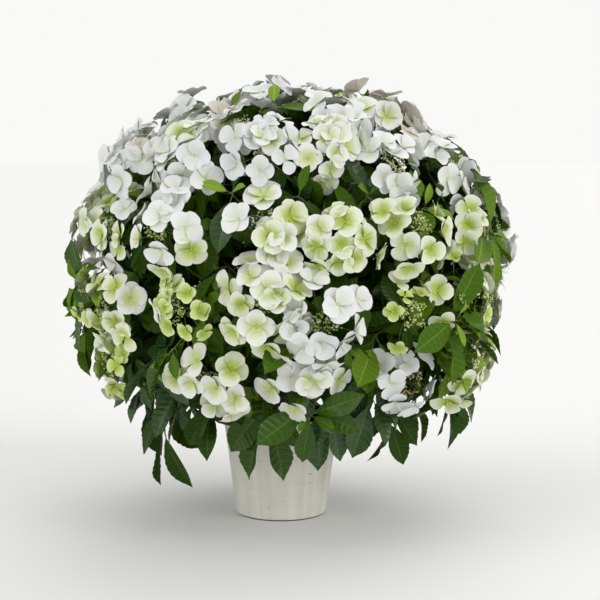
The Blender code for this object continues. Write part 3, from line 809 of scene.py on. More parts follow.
def add_leaves(heap, stalks, grid, leaves, greens, fine):
    """Adds blades and their stalks for a list of leaves."""
    count = len(leaves)
    roots = np.array([leaf.root for leaf in leaves])
    ways = unit(np.array([leaf.way for leaf in leaves]))
    faces = unit(np.array([leaf.face for leaf in leaves]))
    length = np.array([leaf.length for leaf in leaves])
    stalk = length * fine.uniform(*LEAF_STALK, count)
    bases = roots + ways * stalk[:, None] + faces * (stalk * 0.25)[:, None]
    blade = blade_points(grid, length * 0.92, *(fine.uniform(*limits, count) for limits in LEAF_SHAPES.values()))
    slots = np.array(greens)[:, None] * 3 + grid.kinds[None, :]
    heap.add(laid(blade, ways, faces, bases), grid.quads, slots)
    middle = (roots + bases) / 2 + faces * (stalk * 0.05)[:, None]
    paths = np.stack([roots, middle, bases + ways * (length * 0.02)[:, None]], axis=1)
    radii = length[:, None] * STALK_RADII
    add_tubes(stalks, paths, radii, 4, GREEN)

# %% Leaves between the florets
FLORETS = [floret for heads in HEADS.values() for head in heads for floret in head.florets]
FLORET_SPOTS = np.array([tuple(floret.middle) for floret in FLORETS])
FLORET_FACES = np.array([tuple(floret.face) for floret in FLORETS])


LEAF_ROLL = 0.75
BENT, BENT_TIMES, SHORTER = 0.28, 6, 0.96


def between_florets(leaf):
    """The leaf, bent in under any floret that it would run through, or None where it can't be."""
    way, length = leaf.way, leaf.length
    for _ in range(BENT_TIMES):
        face = (leaf.face - way * leaf.face.dot(way)).normalized()
        bent = Leaf(leaf.root, way, face, length)
        hits = crossings(bent, FLORET_SPOTS, FLORET_FACES, LEAF_GAP)
        if not hits.any():
            return bent
        push = Vector(FLORET_FACES[np.argmax(hits.any(axis=0))])
        way = (way - push * BENT).normalized()
        length *= SHORTER
    return None


def cleared(leaves, fine):
    """The leaves that can pass between the florets, each rolled a little on its stalk."""
    rolled = []
    for leaf in leaves:
        roll = fine.uniform(-LEAF_ROLL, LEAF_ROLL)
        face = leaf.face * math.cos(roll) + leaf.way.cross(leaf.face) * math.sin(roll)
        rolled.append(Leaf(leaf.root, leaf.way, face, leaf.length))
    return [leaf for leaf in map(between_florets, rolled) if leaf]


def dealt(rng, weights, leaves):
    """One green for all these leaves."""
    return rng.choices(range(len(LEAF_NAMES)), weights) * len(leaves)

# %% The leaves of each ring
TWIGS = Heap()
for ring in RINGS:
    blades = Heap()
    leaves, greens, shaded, shades = [], [], [], []
    for mass in MASSES:
        if mass.ring is not ring:
            continue
        grown_here = GROWN[mass.name]
        draw = random.Random("green of " + mass.name)
        for usual, shoots in ((UNDER_FLOWERS, grown_here.flowering), (OUTER_SPRAY, grown_here.leafy)):
            for shoot in shoots:
                weights = usual
                grown, young = cleared(shoot.leaves, draw), cleared(shoot.young, draw)
                leaves += grown + young
                if shoot.hanging:
                    weights = HANGING_SPRAY
                elif nearness(shoot.path[-1], YOUNG_SIDES) > YOUNG_FROM:
                    weights = YOUNG_SPRAY
                greens += dealt(draw, weights, grown)
                greens += dealt(draw, YOUNG_TIPS, young)
        for spray in SPRAYS[mass.name]:
            leaves += spray.leaves + spray.young
            greens += dealt(draw, HANGING_SPRAY if spray.hanging else STANDING_SPRAY, spray.leaves)
            greens += dealt(draw, YOUNG_TIPS, spray.young)
        shaded += grown_here.inner
        # Inner leaves take the darkest greens as painted shade, except near the younger sides, which get the outer
        # greens.
        for number in range(0, len(grown_here.inner), 2):
            pair = grown_here.inner[number : number + 2]
            light = nearness(pair[0].root, YOUNG_SIDES) > LIGHT_FROM
            shades += dealt(draw, OUTER_SPRAY if light else IN_SHADE, pair)
    add_leaves(blades, TWIGS, VEINED, leaves, greens, np.random.default_rng(len(leaves)))
    add_leaves(blades, TWIGS, SHADED, shaded, shades, np.random.default_rng(len(shaded)))
    piece = blades.make("leaves_" + ring.name, LEAF_FINISHES)
    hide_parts(*(mass.name for mass in MASSES if mass.ring is ring))

# %% [markdown]
# ## Twigs
# The young shoots are smooth and green and thicken where a pair of leaves joins them. They are round tubes along the
# same curves that carried the leaves. A skin modifier would also do it, but a tube by rule has a known taper.

# %% Green shoots
TWIG_SIDES, SHADED_SIDES = 6, 4
KNOT_SWELL, KNOT_WIDTH = 0.28, 0.045


def knotted(count, steps, start, end, knots):
    """Radii from start to end, a little thicker at each knot."""
    share = np.linspace(0, 1, steps)
    radii = start + (end - start) * share
    for knot in knots:
        radii = radii + start * KNOT_SWELL * np.exp(-(((share - knot) / KNOT_WIDTH) ** 2))
    return np.broadcast_to(radii, (count, steps)).copy()


grown = [GROWN[mass.name] for mass in MASSES]
sprays = [spray for mass in MASSES for spray in SPRAYS[mass.name]]
TWIG_KINDS = (
    ([g.stem for g in grown], 0.0023, 0.0015, (0.35, 0.6, 0.85), TWIG_SIDES, BROWN),
    ([shoot.path for g in grown for shoot in g.flowering], 0.0016, 0.0013, (0.28, 0.62), TWIG_SIDES, GREEN),
    ([shoot.path for g in grown for shoot in g.leafy], 0.0014, 0.0007, (0.35, 0.62), TWIG_SIDES, GREEN),
    ([spray.path for spray in sprays], 0.0014, 0.0007, (0.4, 0.9), TWIG_SIDES, GREEN),
    ([path for g in grown for path in g.shaded], 0.0013, 0.0006, (0.3, 0.62), SHADED_SIDES, BROWN),
)
for paths, foot, tip, knots, sides, finish in TWIG_KINDS:
    paths = np.array([[tuple(point) for point in path] for path in paths])
    add_tubes(TWIGS, paths, knotted(len(paths), SHOOT_STEPS + 1, foot, tip, knots), sides, finish)

# %% [markdown]
# ## Florets
# The large florets are sterile: three to five broad sepals round a tiny eye, each overlapping the next. A sepal is
# a cupped disc with a shallow furrow along its middle and a faintly scalloped edge. Its faces also carry the colour,
# dealt out by how far they lie from the eye: the nearest are green, then cream, then white. A texture could blend them
# more softly, but the steps are small and plain colours survive any export.

# %% The sepal
SEPAL_ROWS = np.array([-1, -0.74, -0.5, -0.25, 0.05, 0.35, 0.62, 0.84, 1])
SEPAL_COLUMNS = np.array([-1, -0.68, -0.25, 0.25, 0.68, 1])
SEPAL_QUADS = grid_quads(len(SEPAL_ROWS) - 1, len(SEPAL_COLUMNS) - 1)
SEPAL_CLAW = 0.30
SEPAL_COUNTS = (3, 4, 4, 4, 4, 4, 5)
OPENED, OPENING, LAPPED = 34, 26, 7
LAP = 0.0006
ZONE_ENDS = (0.13, 0.25, 0.38, 0.53, 0.67, 0.88)


def sepal_points(length, width, cup, curl, ruffle, phase):
    """The points of sepals, each argument an array with one value for each sepal. The square grid is drawn out to a
    disc, which gives an even round edge, and is then narrowed towards its claw."""
    length, width, cup, curl, ruffle, phase = (
        value[:, None, None] for value in (length, width, cup, curl, ruffle, phase)
    )
    a = SEPAL_ROWS[None, :, None]
    b = SEPAL_COLUMNS[None, None, :]
    ahead = a * np.sqrt(1 - b**2 / 2)
    level = b * np.sqrt(1 - a**2 / 2)
    bearing = np.arctan2(level, ahead)
    rim = np.maximum(np.abs(a), np.abs(b)) ** 4
    scallop = 1 + rim * (0.022 * ruffle * np.cos(9 * bearing + phase) - 0.035 * np.exp(-((bearing / 0.22) ** 2)))
    u = (1 + ahead * scallop) / 2
    x = length * u
    y = width * level * scallop * (SEPAL_CLAW + (1 - SEPAL_CLAW) * np.clip(u / 0.62, 0, 1) ** 0.8)
    z = cup * length * 0.20 * (level**2) + cup * length * 0.10 * (0.5 - u).clip(0)
    z -= curl * length * 0.45 * (u - 0.45).clip(0) ** 2
    z -= 0.014 * length * np.exp(-((level / 0.3) ** 2)) * u
    z += ruffle * length * 0.030 * np.sin(7.0 * u + 2.1 * level + phase) * level**2
    return np.stack(np.broadcast_arrays(x, y, z), axis=-1).reshape(len(length), -1, 3)


flat_sepal = sepal_points(*(np.array([value]) for value in (1.0, 0.57, 0.0, 0.0, 0.0, 0.0)))[0]
SEPAL_ZONES = np.digitize(np.linalg.norm(flat_sepal[SEPAL_QUADS].mean(axis=1), axis=1), ZONE_ENDS)
print("faces in each zone of a sepal:", np.bincount(SEPAL_ZONES))

# %% Laying the sepals
def add_florets(heap, florets, fine):
    """Adds every sepal of these florets."""
    ways, faces, origins, sizes, stages, lifts = [], [], [], [], [], []
    for floret in florets:
        side, lift = frame_along(floret.face)
        count = fine.choice(SEPAL_COUNTS)
        spin = fine.uniform(0, math.tau)
        opened = math.radians(OPENED - OPENING * floret.opening)
        for number in range(count):
            angle = spin + math.tau * (number + fine.uniform(-0.07, 0.07)) / count
            out = side * math.cos(angle) + lift * math.sin(angle)
            upper = number % 2
            rise = opened + math.radians(LAPPED * upper + fine.uniform(-5, 5))
            ways.append(out * math.cos(rise) + floret.face * math.sin(rise))
            faces.append(floret.face * math.cos(rise) - out * math.sin(rise))
            origins.append(floret.middle + floret.face * (LAP * upper) + out * LAP)
            sizes.append(floret.size)
            stages.append(floret.stage)
            lifts.append(rise)
    count = len(ways)
    length = np.array(sizes) * fine.uniform(0.92, 1.06, count)
    local = sepal_points(
        length,
        length * fine.uniform(0.52, 0.62, count),
        fine.uniform(0.3, 1.3, count),
        fine.uniform(0.2, 1.3, count) + np.array(lifts),
        fine.uniform(0.3, 1.2, count),
        fine.uniform(0, math.tau, count),
    )
    slots = np.array(stages)[:, None] * len(ZONES) + SEPAL_ZONES[None, :]
    heap.add(laid(local, np.array(ways), np.array(faces), np.array(origins)), SEPAL_QUADS, slots)


for ring in RINGS:
    sepals = Heap()
    florets = [f for mass in MASSES if mass.ring is ring for head in HEADS[mass.name] for f in head.florets]
    add_florets(sepals, florets, np.random.default_rng(len(florets) + 7))
    piece = sepals.make("florets_" + ring.name, SEPAL_FINISHES)

# %% [markdown]
# ## Buds and flower stalks
# Between the large florets sits the true blossom: a flat cluster of beads on hair-thin stalks that all spring from
# the neck of the head. Each bead is a small twenty-sided ball, which is round enough at two to four millimetres. The
# rays run from the neck to knots, and from each knot eleven stalks spread to their beads.

# %% A small ball
GOLDEN = (1 + math.sqrt(5)) / 2
BALL_POINTS = unit(np.array([
    (-1, GOLDEN, 0), (1, GOLDEN, 0), (-1, -GOLDEN, 0), (1, -GOLDEN, 0),
    (0, -1, GOLDEN), (0, 1, GOLDEN), (0, -1, -GOLDEN), (0, 1, -GOLDEN),
    (GOLDEN, 0, -1), (GOLDEN, 0, 1), (-GOLDEN, 0, -1), (-GOLDEN, 0, 1),
]))
BALL_FACES = np.array([
    (0, 11, 5), (0, 5, 1), (0, 1, 7), (0, 7, 10), (0, 10, 11), (1, 5, 9), (5, 11, 4), (11, 10, 2), (10, 7, 6),
    (7, 1, 8), (3, 9, 4), (3, 4, 2), (3, 2, 6), (3, 6, 8), (3, 8, 9), (4, 9, 5), (2, 4, 11), (6, 2, 10),
    (8, 6, 7), (9, 8, 1),
])
print(len(BALL_FACES), "faces to a bead")

# %% Bead clusters
RAYS = 9
BEADS_PER_RAY = 11
STALK_SIDES = 3
HUB_DEPTH = 0.006
RAY_REACH, BEAD_SPREAD, BEAD_RISE = (0.004, 0.020), (0.001, 0.0075), (0.004, 0.009)
BEAD_RADII, EYE_RADIUS, EYE_RISE = (0.0011, 0.0019), 0.0013, 0.0012
OWN_TINT = 0.75
BEAD_TINTS = {
    "bright": (0, 1, 1, 2), "cool": (1, 1, 2, 3), "warm": (0, 0, 1, 2),
    "cream": (0, 1, 1, 2), "lime": (0, 0, 0, 2), "aged": (3, 3, 3, 1),
}
beads, stalks = Heap(), Heap()
bead_centres, bead_sizes, bead_slots, ray_paths, bead_paths, floret_paths = [], [], [], [], [], []
draw = random.Random("beads")
for mass in MASSES:
    for head in HEADS[mass.name]:
        side, lift = frame_along(head.face)
        tint = draw.choice(BEAD_TINTS[STAGE_NAMES[head.stage]])
        hub = head.neck - head.face * HUB_DEPTH
        first = draw.uniform(0, math.tau)
        for ray in range(RAYS):
            angle = first + math.tau * (ray + draw.uniform(-0.2, 0.2)) / RAYS
            out = side * math.cos(angle) + lift * math.sin(angle)
            reach = draw.uniform(*RAY_REACH)
            knot = head.middle + out * reach + head.face * draw.uniform(-0.005, -0.001)
            ray_paths.append((hub, hub.lerp(knot, 0.6) + out * 0.001, knot))
            for _ in range(BEADS_PER_RAY):
                turn = draw.uniform(0, math.tau)
                spread = draw.uniform(*BEAD_SPREAD)
                bead = knot + (side * math.cos(turn) + lift * math.sin(turn)) * spread
                bead = bead + head.face * draw.uniform(*BEAD_RISE)
                bead_paths.append((knot, knot.lerp(bead, 0.5), bead))
                bead_centres.append(bead)
                bead_sizes.append(draw.uniform(*BEAD_RADII))
                bead_slots.append(tint if draw.random() < OWN_TINT else draw.choice((0, 1, 2)))
        for floret in head.florets:
            under = floret.middle - floret.face * 0.0002
            floret_paths.append((hub, hub.lerp(under, 0.55) - head.face * 0.003, under))

# %% Buds and their stalks
ball = BALL_POINTS[None] * np.array(bead_sizes)[:, None, None] + np.array(bead_centres)[:, None, :]
beads.add(ball, BALL_FACES, np.array(bead_slots)[:, None])
eyes = [f for heads in HEADS.values() for head in heads for f in head.florets]
eye_centres = np.array([tuple(f.middle + f.face * EYE_RISE) for f in eyes])
beads.add(BALL_POINTS[None] * EYE_RADIUS + eye_centres[:, None, :], BALL_FACES, 1)
piece = beads.make("buds", BEAD_FINISHES)
for paths, radii in (
    (ray_paths, (0.0007, 0.0006, 0.0005)), (bead_paths, (0.0003, 0.00025, 0.00025)),
    (floret_paths, (0.0007, 0.0006, 0.0006)),
):
    add_tubes(stalks, np.array(paths), np.tile(radii, (len(paths), 1)), STALK_SIDES, PALE)
piece = stalks.make("flower_stalks", TWIG_FINISHES)
piece = TWIGS.make("green_twigs", TWIG_FINISHES)

# %% [markdown]
# ## Shared patterns
# Bark, soil and the pot's sleeve share two effects: a soft change of tone over the surface, and small marks drawn
# out in one direction. Each is a node group with named inputs, so that a finish only sets its own numbers.

# %% Node helpers
def add_node(tree, kind, **values):
    """A node of this kind. A value is set on the node, or on an input socket of that name."""
    node = tree.nodes.new(kind)
    for name, value in values.items():
        if hasattr(node, name):
            setattr(node, name, value)
        else:
            node.inputs[name.replace("_", " ")].default_value = value
    return node


def new_group(name, inputs, outputs):
    """A shader node group with sockets given as (name, kind, start value)."""
    group = bpy.data.node_groups.new(name, "ShaderNodeTree")
    for label, kind, start in inputs:
        socket = group.interface.new_socket(label, in_out="INPUT", socket_type=kind)
        if start is not None:
            socket.default_value = start
    for label, kind in outputs:
        group.interface.new_socket(label, in_out="OUTPUT", socket_type=kind)
    return group, group.nodes.new("NodeGroupInput"), group.nodes.new("NodeGroupOutput")


def link(tree, *pairs):
    """Joins outputs to inputs, given in pairs."""
    for source, target in pairs:
        tree.links.new(source, target)

# %% The group for soft changes of tone
MOTTLE, inside, outside = new_group(
    "mottle",
    (("Vector", "NodeSocketVector", None), ("Scale", "NodeSocketFloat", 20.0), ("Contrast", "NodeSocketFloat", 2.0)),
    (("Mask", "NodeSocketFloat"),),
)
cloud = add_node(MOTTLE, "ShaderNodeTexNoise", Detail=5.0, Roughness=0.6)
centred = add_node(MOTTLE, "ShaderNodeMath", operation="SUBTRACT")
centred.inputs[1].default_value = 0.5
steeper = add_node(MOTTLE, "ShaderNodeMath", operation="MULTIPLY_ADD", use_clamp=True)
steeper.inputs[2].default_value = 0.5
link(
    MOTTLE,
    (inside.outputs["Vector"], cloud.inputs["Vector"]), (inside.outputs["Scale"], cloud.inputs["Scale"]),
    (cloud.outputs["Fac"], centred.inputs[0]), (centred.outputs[0], steeper.inputs[0]),
    (inside.outputs["Contrast"], steeper.inputs[1]), (steeper.outputs[0], outside.inputs["Mask"]),
)

# %% The group for drawn-out marks
MARKS, inside, outside = new_group(
    "drawn_out_marks",
    (
        ("Vector", "NodeSocketVector", None), ("Density", "NodeSocketVector", (60.0, 700.0, 60.0)),
        ("Threshold", "NodeSocketFloat", 0.66), ("Softness", "NodeSocketFloat", 0.04),
    ),
    (("Mask", "NodeSocketFloat"),),
)
stretch = add_node(MARKS, "ShaderNodeVectorMath", operation="MULTIPLY")
speck = add_node(MARKS, "ShaderNodeTexNoise", Scale=1.0, Detail=2.0, Roughness=0.5)
over = add_node(MARKS, "ShaderNodeMath", operation="SUBTRACT")
sharp = add_node(MARKS, "ShaderNodeMath", operation="DIVIDE", use_clamp=True)
link(
    MARKS,
    (inside.outputs["Vector"], stretch.inputs[0]), (inside.outputs["Density"], stretch.inputs[1]),
    (stretch.outputs[0], speck.inputs["Vector"]), (speck.outputs["Fac"], over.inputs[0]),
    (inside.outputs["Threshold"], over.inputs[1]), (over.outputs[0], sharp.inputs[0]),
    (inside.outputs["Softness"], sharp.inputs[1]), (sharp.outputs[0], outside.inputs["Mask"]),
)

# %% [markdown]
# ## The pot
# The pot is a plain tapering cup in a sleeve of pale birch bark. The bark is off-white with faint upright bands of
# beige and grey, short dark breathing marks that lie level, and fine peeling lines. Its sheet wraps once round the
# pot and overlaps itself at the back. The wall is a fine lathe whose rows and columns also carry the relief. A
# displacement from a texture could make it too, but a rule in the mesh shows in the outline as well.

# %% The sleeve's sizes and waves
POT_HEIGHT = 0.150
POT_RIM_RADIUS = 0.088
POT_FOOT_RADIUS = 0.069
POT_WALL = 0.006
POT_TURNS = 240
POT_ROWS = 84
SEAM_ANGLE = math.radians(118)
POT_FLOOR = 0.009
POT_FOOT_EDGE = 0.0020
RIM_BEVEL = 0.0016


def smooth_noise(angle, height, seed, around, upward):
    """A smooth wave field over the wall from a few sines with whole numbers of turns, roughly -1 to 1."""
    rng = random.Random(seed)
    total = np.zeros(np.broadcast(angle, height).shape)
    for _ in range(9):
        turns = rng.randint(*around)
        total += np.sin(turns * angle + rng.uniform(*upward) * height + rng.uniform(0, math.tau))
    return total / 4

# %% The sleeve's shape
angle = np.linspace(0, math.tau, POT_TURNS, endpoint=False)[None, :]
share = np.linspace(0, 1, POT_ROWS)[:, None]
height = POT_FOOT_EDGE + share * (POT_HEIGHT - POT_FOOT_EDGE)
radius = POT_FOOT_RADIUS + (POT_RIM_RADIUS - POT_FOOT_RADIUS) * share
after_seam = np.mod(angle - SEAM_ANGLE, math.tau)
overlap = 0.0010 * np.exp(-after_seam / 0.20) * (after_seam > 0.012)
wander = 0.00035 * smooth_noise(angle, height, 1, (2, 7), (8, 40))
peel = 0.00016 * smooth_noise(angle, height, 2, (3, 12), (500, 1400))
edge_rise = 0.0007 * smooth_noise(angle, height * 0, 3, (3, 16), (0, 1)) * share**8
wall = radius + overlap + wander + peel - 0.0006
wall_points = round_points(wall, angle, height + edge_rise)


def inner_radius(at_height):
    """The pot's inner radius at a height above its floor."""
    foot = POT_FOOT_RADIUS - POT_WALL
    return foot + (at_height - POT_FLOOR) / (POT_HEIGHT - POT_FLOOR) * (POT_RIM_RADIUS - POT_WALL - foot)


rim_in = wall_points[-1] * [1 - RIM_BEVEL / POT_RIM_RADIUS, 1 - RIM_BEVEL / POT_RIM_RADIUS, 1]
UNDERSIDE = ((0.02, 0.0), (POT_FOOT_RADIUS - 0.0030, 0.0), (POT_FOOT_RADIUS - 0.0030, 0.0018))
INSIDE = (
    (POT_RIM_RADIUS - 0.0022, POT_HEIGHT - 0.0022), (POT_RIM_RADIUS - 0.0050, POT_HEIGHT - 0.0020),
    *((inner_radius(h), h) for h in (POT_HEIGHT - 0.003, 0.12, 0.06, POT_FLOOR)),
)
rings = [round_points(r, angle[0], h) for r, h in UNDERSIDE] + [*wall_points, rim_in]
rings = np.array(rings + [round_points(r, angle[0], h) for r, h in INSIDE])
row = np.repeat(np.arange(len(rings) - 1), POT_TURNS)
sleeve = Heap()
# Slot 1 is the dark liner: the pot's inside, and the inset foot, whose dark ring is painted contact shadow.
sleeve.add_wall(rings, ((row >= POT_ROWS + len(UNDERSIDE)) | (row < 2)).astype(int))

# %% Coordinates round the pot
def wrapped_place(tree):
    """Object coordinates rolled out flat: distance round the pot, and height."""
    place = add_node(tree, "ShaderNodeTexCoord")
    split = add_node(tree, "ShaderNodeSeparateXYZ")
    turn = add_node(tree, "ShaderNodeMath", operation="ARCTAN2")
    round_pot = add_node(tree, "ShaderNodeMath", operation="MULTIPLY")
    round_pot.inputs[1].default_value = (POT_RIM_RADIUS + POT_FOOT_RADIUS) / 2
    flat = add_node(tree, "ShaderNodeCombineXYZ")
    link(
        tree,
        (place.outputs["Object"], split.inputs[0]), (split.outputs["Y"], turn.inputs[0]),
        (split.outputs["X"], turn.inputs[1]), (turn.outputs[0], round_pot.inputs[0]),
        (round_pot.outputs[0], flat.inputs["X"]), (split.outputs["Z"], flat.inputs["Y"]),
    )
    return flat.outputs[0]

# %% Helpers for mixing finishes
def use_group(tree, group, vector, **values):
    """A placed group with its vector linked and its own numbers set."""
    node = add_node(tree, "ShaderNodeGroup")
    node.node_tree = group
    tree.links.new(vector, node.inputs["Vector"])
    for name, value in values.items():
        node.inputs[name].default_value = value
    return node.outputs["Mask"]


def mixed(tree, mask, below, above, strength=1.0):
    """A colour that goes from below to above with the mask. Below and above are sockets or colours."""
    mix = add_node(tree, "ShaderNodeMix", data_type="RGBA")
    if strength != 1.0:
        weaker = add_node(tree, "ShaderNodeMath", operation="MULTIPLY")
        weaker.inputs[1].default_value = strength
        tree.links.new(mask, weaker.inputs[0])
        mask = weaker.outputs[0]
    tree.links.new(mask, mix.inputs["Factor"])
    for value, socket in ((below, mix.inputs[6]), (above, mix.inputs[7])):
        if isinstance(value, tuple):
            socket.default_value = (*value, 1)
        else:
            tree.links.new(value, socket)
    return mix.outputs[2]


def combined(tree, operation, first, second):
    """Two masks, or a mask and a number, in one mask."""
    node = add_node(tree, "ShaderNodeMath", operation=operation, use_clamp=True)
    for value, socket in ((first, node.inputs[0]), (second, node.inputs[1])):
        if isinstance(value, float):
            socket.default_value = value
        else:
            tree.links.new(value, socket)
    return node.outputs[0]


def relief(tree, shader, height, strength, distance):
    """Bump from a height, on the shader's normal."""
    bump = add_node(tree, "ShaderNodeBump", Strength=strength, Distance=distance)
    tree.links.new(height, bump.inputs["Height"])
    tree.links.new(bump.outputs[0], shader.inputs["Normal"])

# %% The sleeve's finish
def birch_bark():
    """Pale bark: upright bands, a soft mottle, level dark marks and fine peeling lines."""
    material = plain("birch_bark", (0.78, 0.75, 0.67), 0.6)
    tree = material.node_tree
    shader = tree.nodes["Principled BSDF"]
    flat = wrapped_place(tree)
    bands = use_group(tree, MARKS, flat, Density=(52.0, 3.5, 1.0), Threshold=0.36, Softness=0.30)
    clouds = use_group(tree, MOTTLE, flat, Scale=22.0, Contrast=2.8)
    lines = use_group(tree, MARKS, flat, Density=(8.0, 560.0, 1.0), Threshold=0.62, Softness=0.05)
    dashes = use_group(tree, MARKS, flat, Density=(30.0, 430.0, 1.0), Threshold=0.705, Softness=0.03)
    large = use_group(tree, MARKS, flat, Density=(17.0, 240.0, 1.0), Threshold=0.725, Softness=0.03)
    colour = mixed(tree, bands, (0.88, 0.87, 0.82), (0.72, 0.675, 0.56))
    colour = mixed(tree, clouds, colour, (0.87, 0.855, 0.79), 0.6)
    colour = mixed(tree, lines, colour, (0.58, 0.50, 0.40), 0.30)
    colour = mixed(tree, dashes, colour, (0.20, 0.16, 0.125), 0.75)
    colour = mixed(tree, large, colour, (0.12, 0.095, 0.075), 0.9)
    tree.links.new(colour, shader.inputs["Base Color"])
    marks = combined(tree, "MAXIMUM", dashes, large)
    rough = combined(tree, "MULTIPLY_ADD", marks, 0.25)
    rough.node.inputs[2].default_value = 0.55
    tree.links.new(rough, shader.inputs["Roughness"])
    raised = combined(tree, "SUBTRACT", combined(tree, "MULTIPLY", clouds, 0.5), combined(tree, "MULTIPLY", lines, 0.4))
    raised = combined(tree, "ADD", raised, marks)
    relief(tree, shader, raised, 0.55, 0.0004)
    return material


# The dark liner of the pot's inside; on the inset foot under the sleeve it is painted shadow where the pot meets the
# floor.
LINER_AND_FOOT_SHADOW = plain("liner", (0.05, 0.045, 0.04), 0.7)
POT_PIECE = sleeve.make("pot_sleeve", [birch_bark(), LINER_AND_FOOT_SHADOW])
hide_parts("pot")

# %% [markdown]
# ## The soil
# Potting soil is a dark fibrous crumb with a few pale grains of perlite and chips of bark. Its surface is a lumpy
# disc, and the loose grains are real little stones half sunk in it, since a smooth disc would show from above.

# %% Soil surface
SOIL_RINGS, SOIL_TURNS, LUMP_WAVES = 34, 110, 14
turn = np.linspace(0, math.tau, SOIL_TURNS, endpoint=False)[None, :]
out = np.linspace(0.02, 1, SOIL_RINGS)[:, None]
soil_radius = inner_radius(SOIL_TOP - 0.004) - 0.0008
reach = out * soil_radius
fine = np.random.default_rng(5)
waves = [fine.uniform(*limits, LUMP_WAVES) for limits in ((150, 900), (150, 900), (0, 6), (0, 6))]
lumps = sum(
    np.sin(kx * reach * np.cos(turn) + p) * np.sin(ky * reach * np.sin(turn) + q)
    for kx, ky, p, q in zip(*waves, strict=True)
)
surface = SOIL_TOP - 0.0015 + 0.0005 * lumps * (out < 0.97) - 0.004 * out**3
ground = round_points(reach, turn, surface)
skirt = ground[-1] * [1, 1, 0] + [0, 0, SOIL_TOP - 0.03]
crumb = Heap()
crumb.add_wall(np.concatenate([ground, skirt[None]]), inward=True)

# %% Loose grains
GRAINS = 420
spot = np.sqrt(fine.uniform(0.06, 0.95, GRAINS)) * soil_radius
bearing = fine.uniform(0, math.tau, GRAINS)
size = fine.uniform(0.0012, 0.0034, GRAINS)
grain = BALL_POINTS[None] * size[:, None, None] * fine.uniform(0.55, 1.25, (GRAINS, 12, 1))
grain = grain * fine.uniform(0.5, 1.2, (GRAINS, 1, 3))
place = round_points(spot, bearing, SOIL_TOP - 0.001 - 0.004 * (spot / soil_radius) ** 3)
crumb.add(grain + place[:, None, :], BALL_FACES, fine.choice([0, 0, 1, 2], GRAINS)[:, None])

# %% The soil's finish
def soil_finish():
    """Dark crumb with a mottle of brown and fine pale fibres."""
    material = plain("potting_soil", (0.04, 0.028, 0.018), 0.95, 0.2)
    tree = material.node_tree
    shader = tree.nodes["Principled BSDF"]
    place = add_node(tree, "ShaderNodeTexCoord").outputs["Object"]
    clumps = use_group(tree, MOTTLE, place, Scale=240.0, Contrast=3.0)
    fibres = use_group(tree, MARKS, place, Density=(900.0, 140.0, 500.0), Threshold=0.66, Softness=0.03)
    colour = mixed(tree, clumps, (0.018, 0.012, 0.008), (0.075, 0.052, 0.034))
    colour = mixed(tree, fibres, colour, (0.20, 0.14, 0.085), 0.7)
    tree.links.new(colour, shader.inputs["Base Color"])
    relief(tree, shader, combined(tree, "ADD", clumps, fibres), 0.8, 0.001)
    return material


chip, perlite = plain("bark_chip", (0.11, 0.060, 0.030), 0.8), plain("perlite", (0.62, 0.60, 0.56), 0.8)
SOIL_PIECE = crumb.make("soil_crumb", [soil_finish(), chip, perlite], smooth=False)
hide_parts("soil")

# %% [markdown]
# ## Stem and boughs
# The woody stem is short and flared, with stringy bark that peels upward in narrow ridges. The boughs rise from its
# head like the ribs of a fan. Their bark is smoother, brown at the foot and green towards the mass, with small pale
# pores. Both are limbs of many sides whose radius follows the ridges, so the outline is never a clean pipe.

# %% The stem's shape
STEM_PROFILE = (
    (0.00, 0.0210), (0.05, 0.0196), (0.14, 0.0164), (0.24, 0.0138), (0.34, 0.0121), (0.48, 0.0133), (0.62, 0.0147),
    (0.74, 0.0157), (0.82, 0.0160), (0.91, 0.0148), (0.97, 0.0128), (1.00, 0.0100),
)
STEM_HEIGHT = 0.046
STEM_TURNS = 72
turn = np.linspace(0, math.tau, STEM_TURNS, endpoint=False)[None, :]
shares = np.linspace(0, 1, 44)
radii = np.interp(shares, *zip(*STEM_PROFILE, strict=True))[:, None]
rise = SOIL_TOP + 0.0003 + shares[:, None] * STEM_HEIGHT
lobes = 1 + 0.10 * (1 - shares[:, None]) * np.cos(3 * turn)
ridges = 0.00045 * np.sin(19 * turn + 90 * rise) * np.sin(7 * turn - 60 * rise)
ridges = ridges + 0.0003 * np.sin(31 * turn + 210 * rise)
stem_radius = radii * lobes + ridges * (radii > 0.011)
trunk = Heap()
trunk.add_wall(round_points(stem_radius, turn, rise))

# %% Bark on the limbs
def limb_bark(name, young):
    """Bark in upright strings, greener and smoother with height."""
    material = plain(name, (0.20, 0.15, 0.10), 0.8)
    tree = material.node_tree
    shader = tree.nodes["Principled BSDF"]
    place = add_node(tree, "ShaderNodeTexCoord").outputs["Object"]
    split = add_node(tree, "ShaderNodeSeparateXYZ")
    tree.links.new(place, split.inputs[0])
    height = add_node(tree, "ShaderNodeMapRange")
    height.inputs["From Min"].default_value = SOIL_TOP
    height.inputs["From Max"].default_value = young
    tree.links.new(split.outputs["Z"], height.inputs["Value"])
    strings = use_group(tree, MARKS, place, Density=(520.0, 520.0, 55.0), Threshold=0.42, Softness=0.22)
    patches = use_group(tree, MOTTLE, place, Scale=120.0, Contrast=2.5)
    pores = use_group(tree, MARKS, place, Density=(600.0, 600.0, 330.0), Threshold=0.70, Softness=0.03)
    wood = mixed(tree, strings, (0.085, 0.058, 0.036), (0.24, 0.18, 0.115))
    green = mixed(tree, patches, (0.085, 0.115, 0.030), (0.15, 0.17, 0.055))
    colour = mixed(tree, height.outputs[0], wood, green)
    colour = mixed(tree, pores, colour, (0.33, 0.27, 0.18), 0.7)
    tree.links.new(colour, shader.inputs["Base Color"])
    relief(tree, shader, combined(tree, "ADD", strings, pores), 0.7, 0.0006)
    return material


piece = trunk.make("stem_bark", [limb_bark("stem_bark", 0.6)])
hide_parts("main_stem")

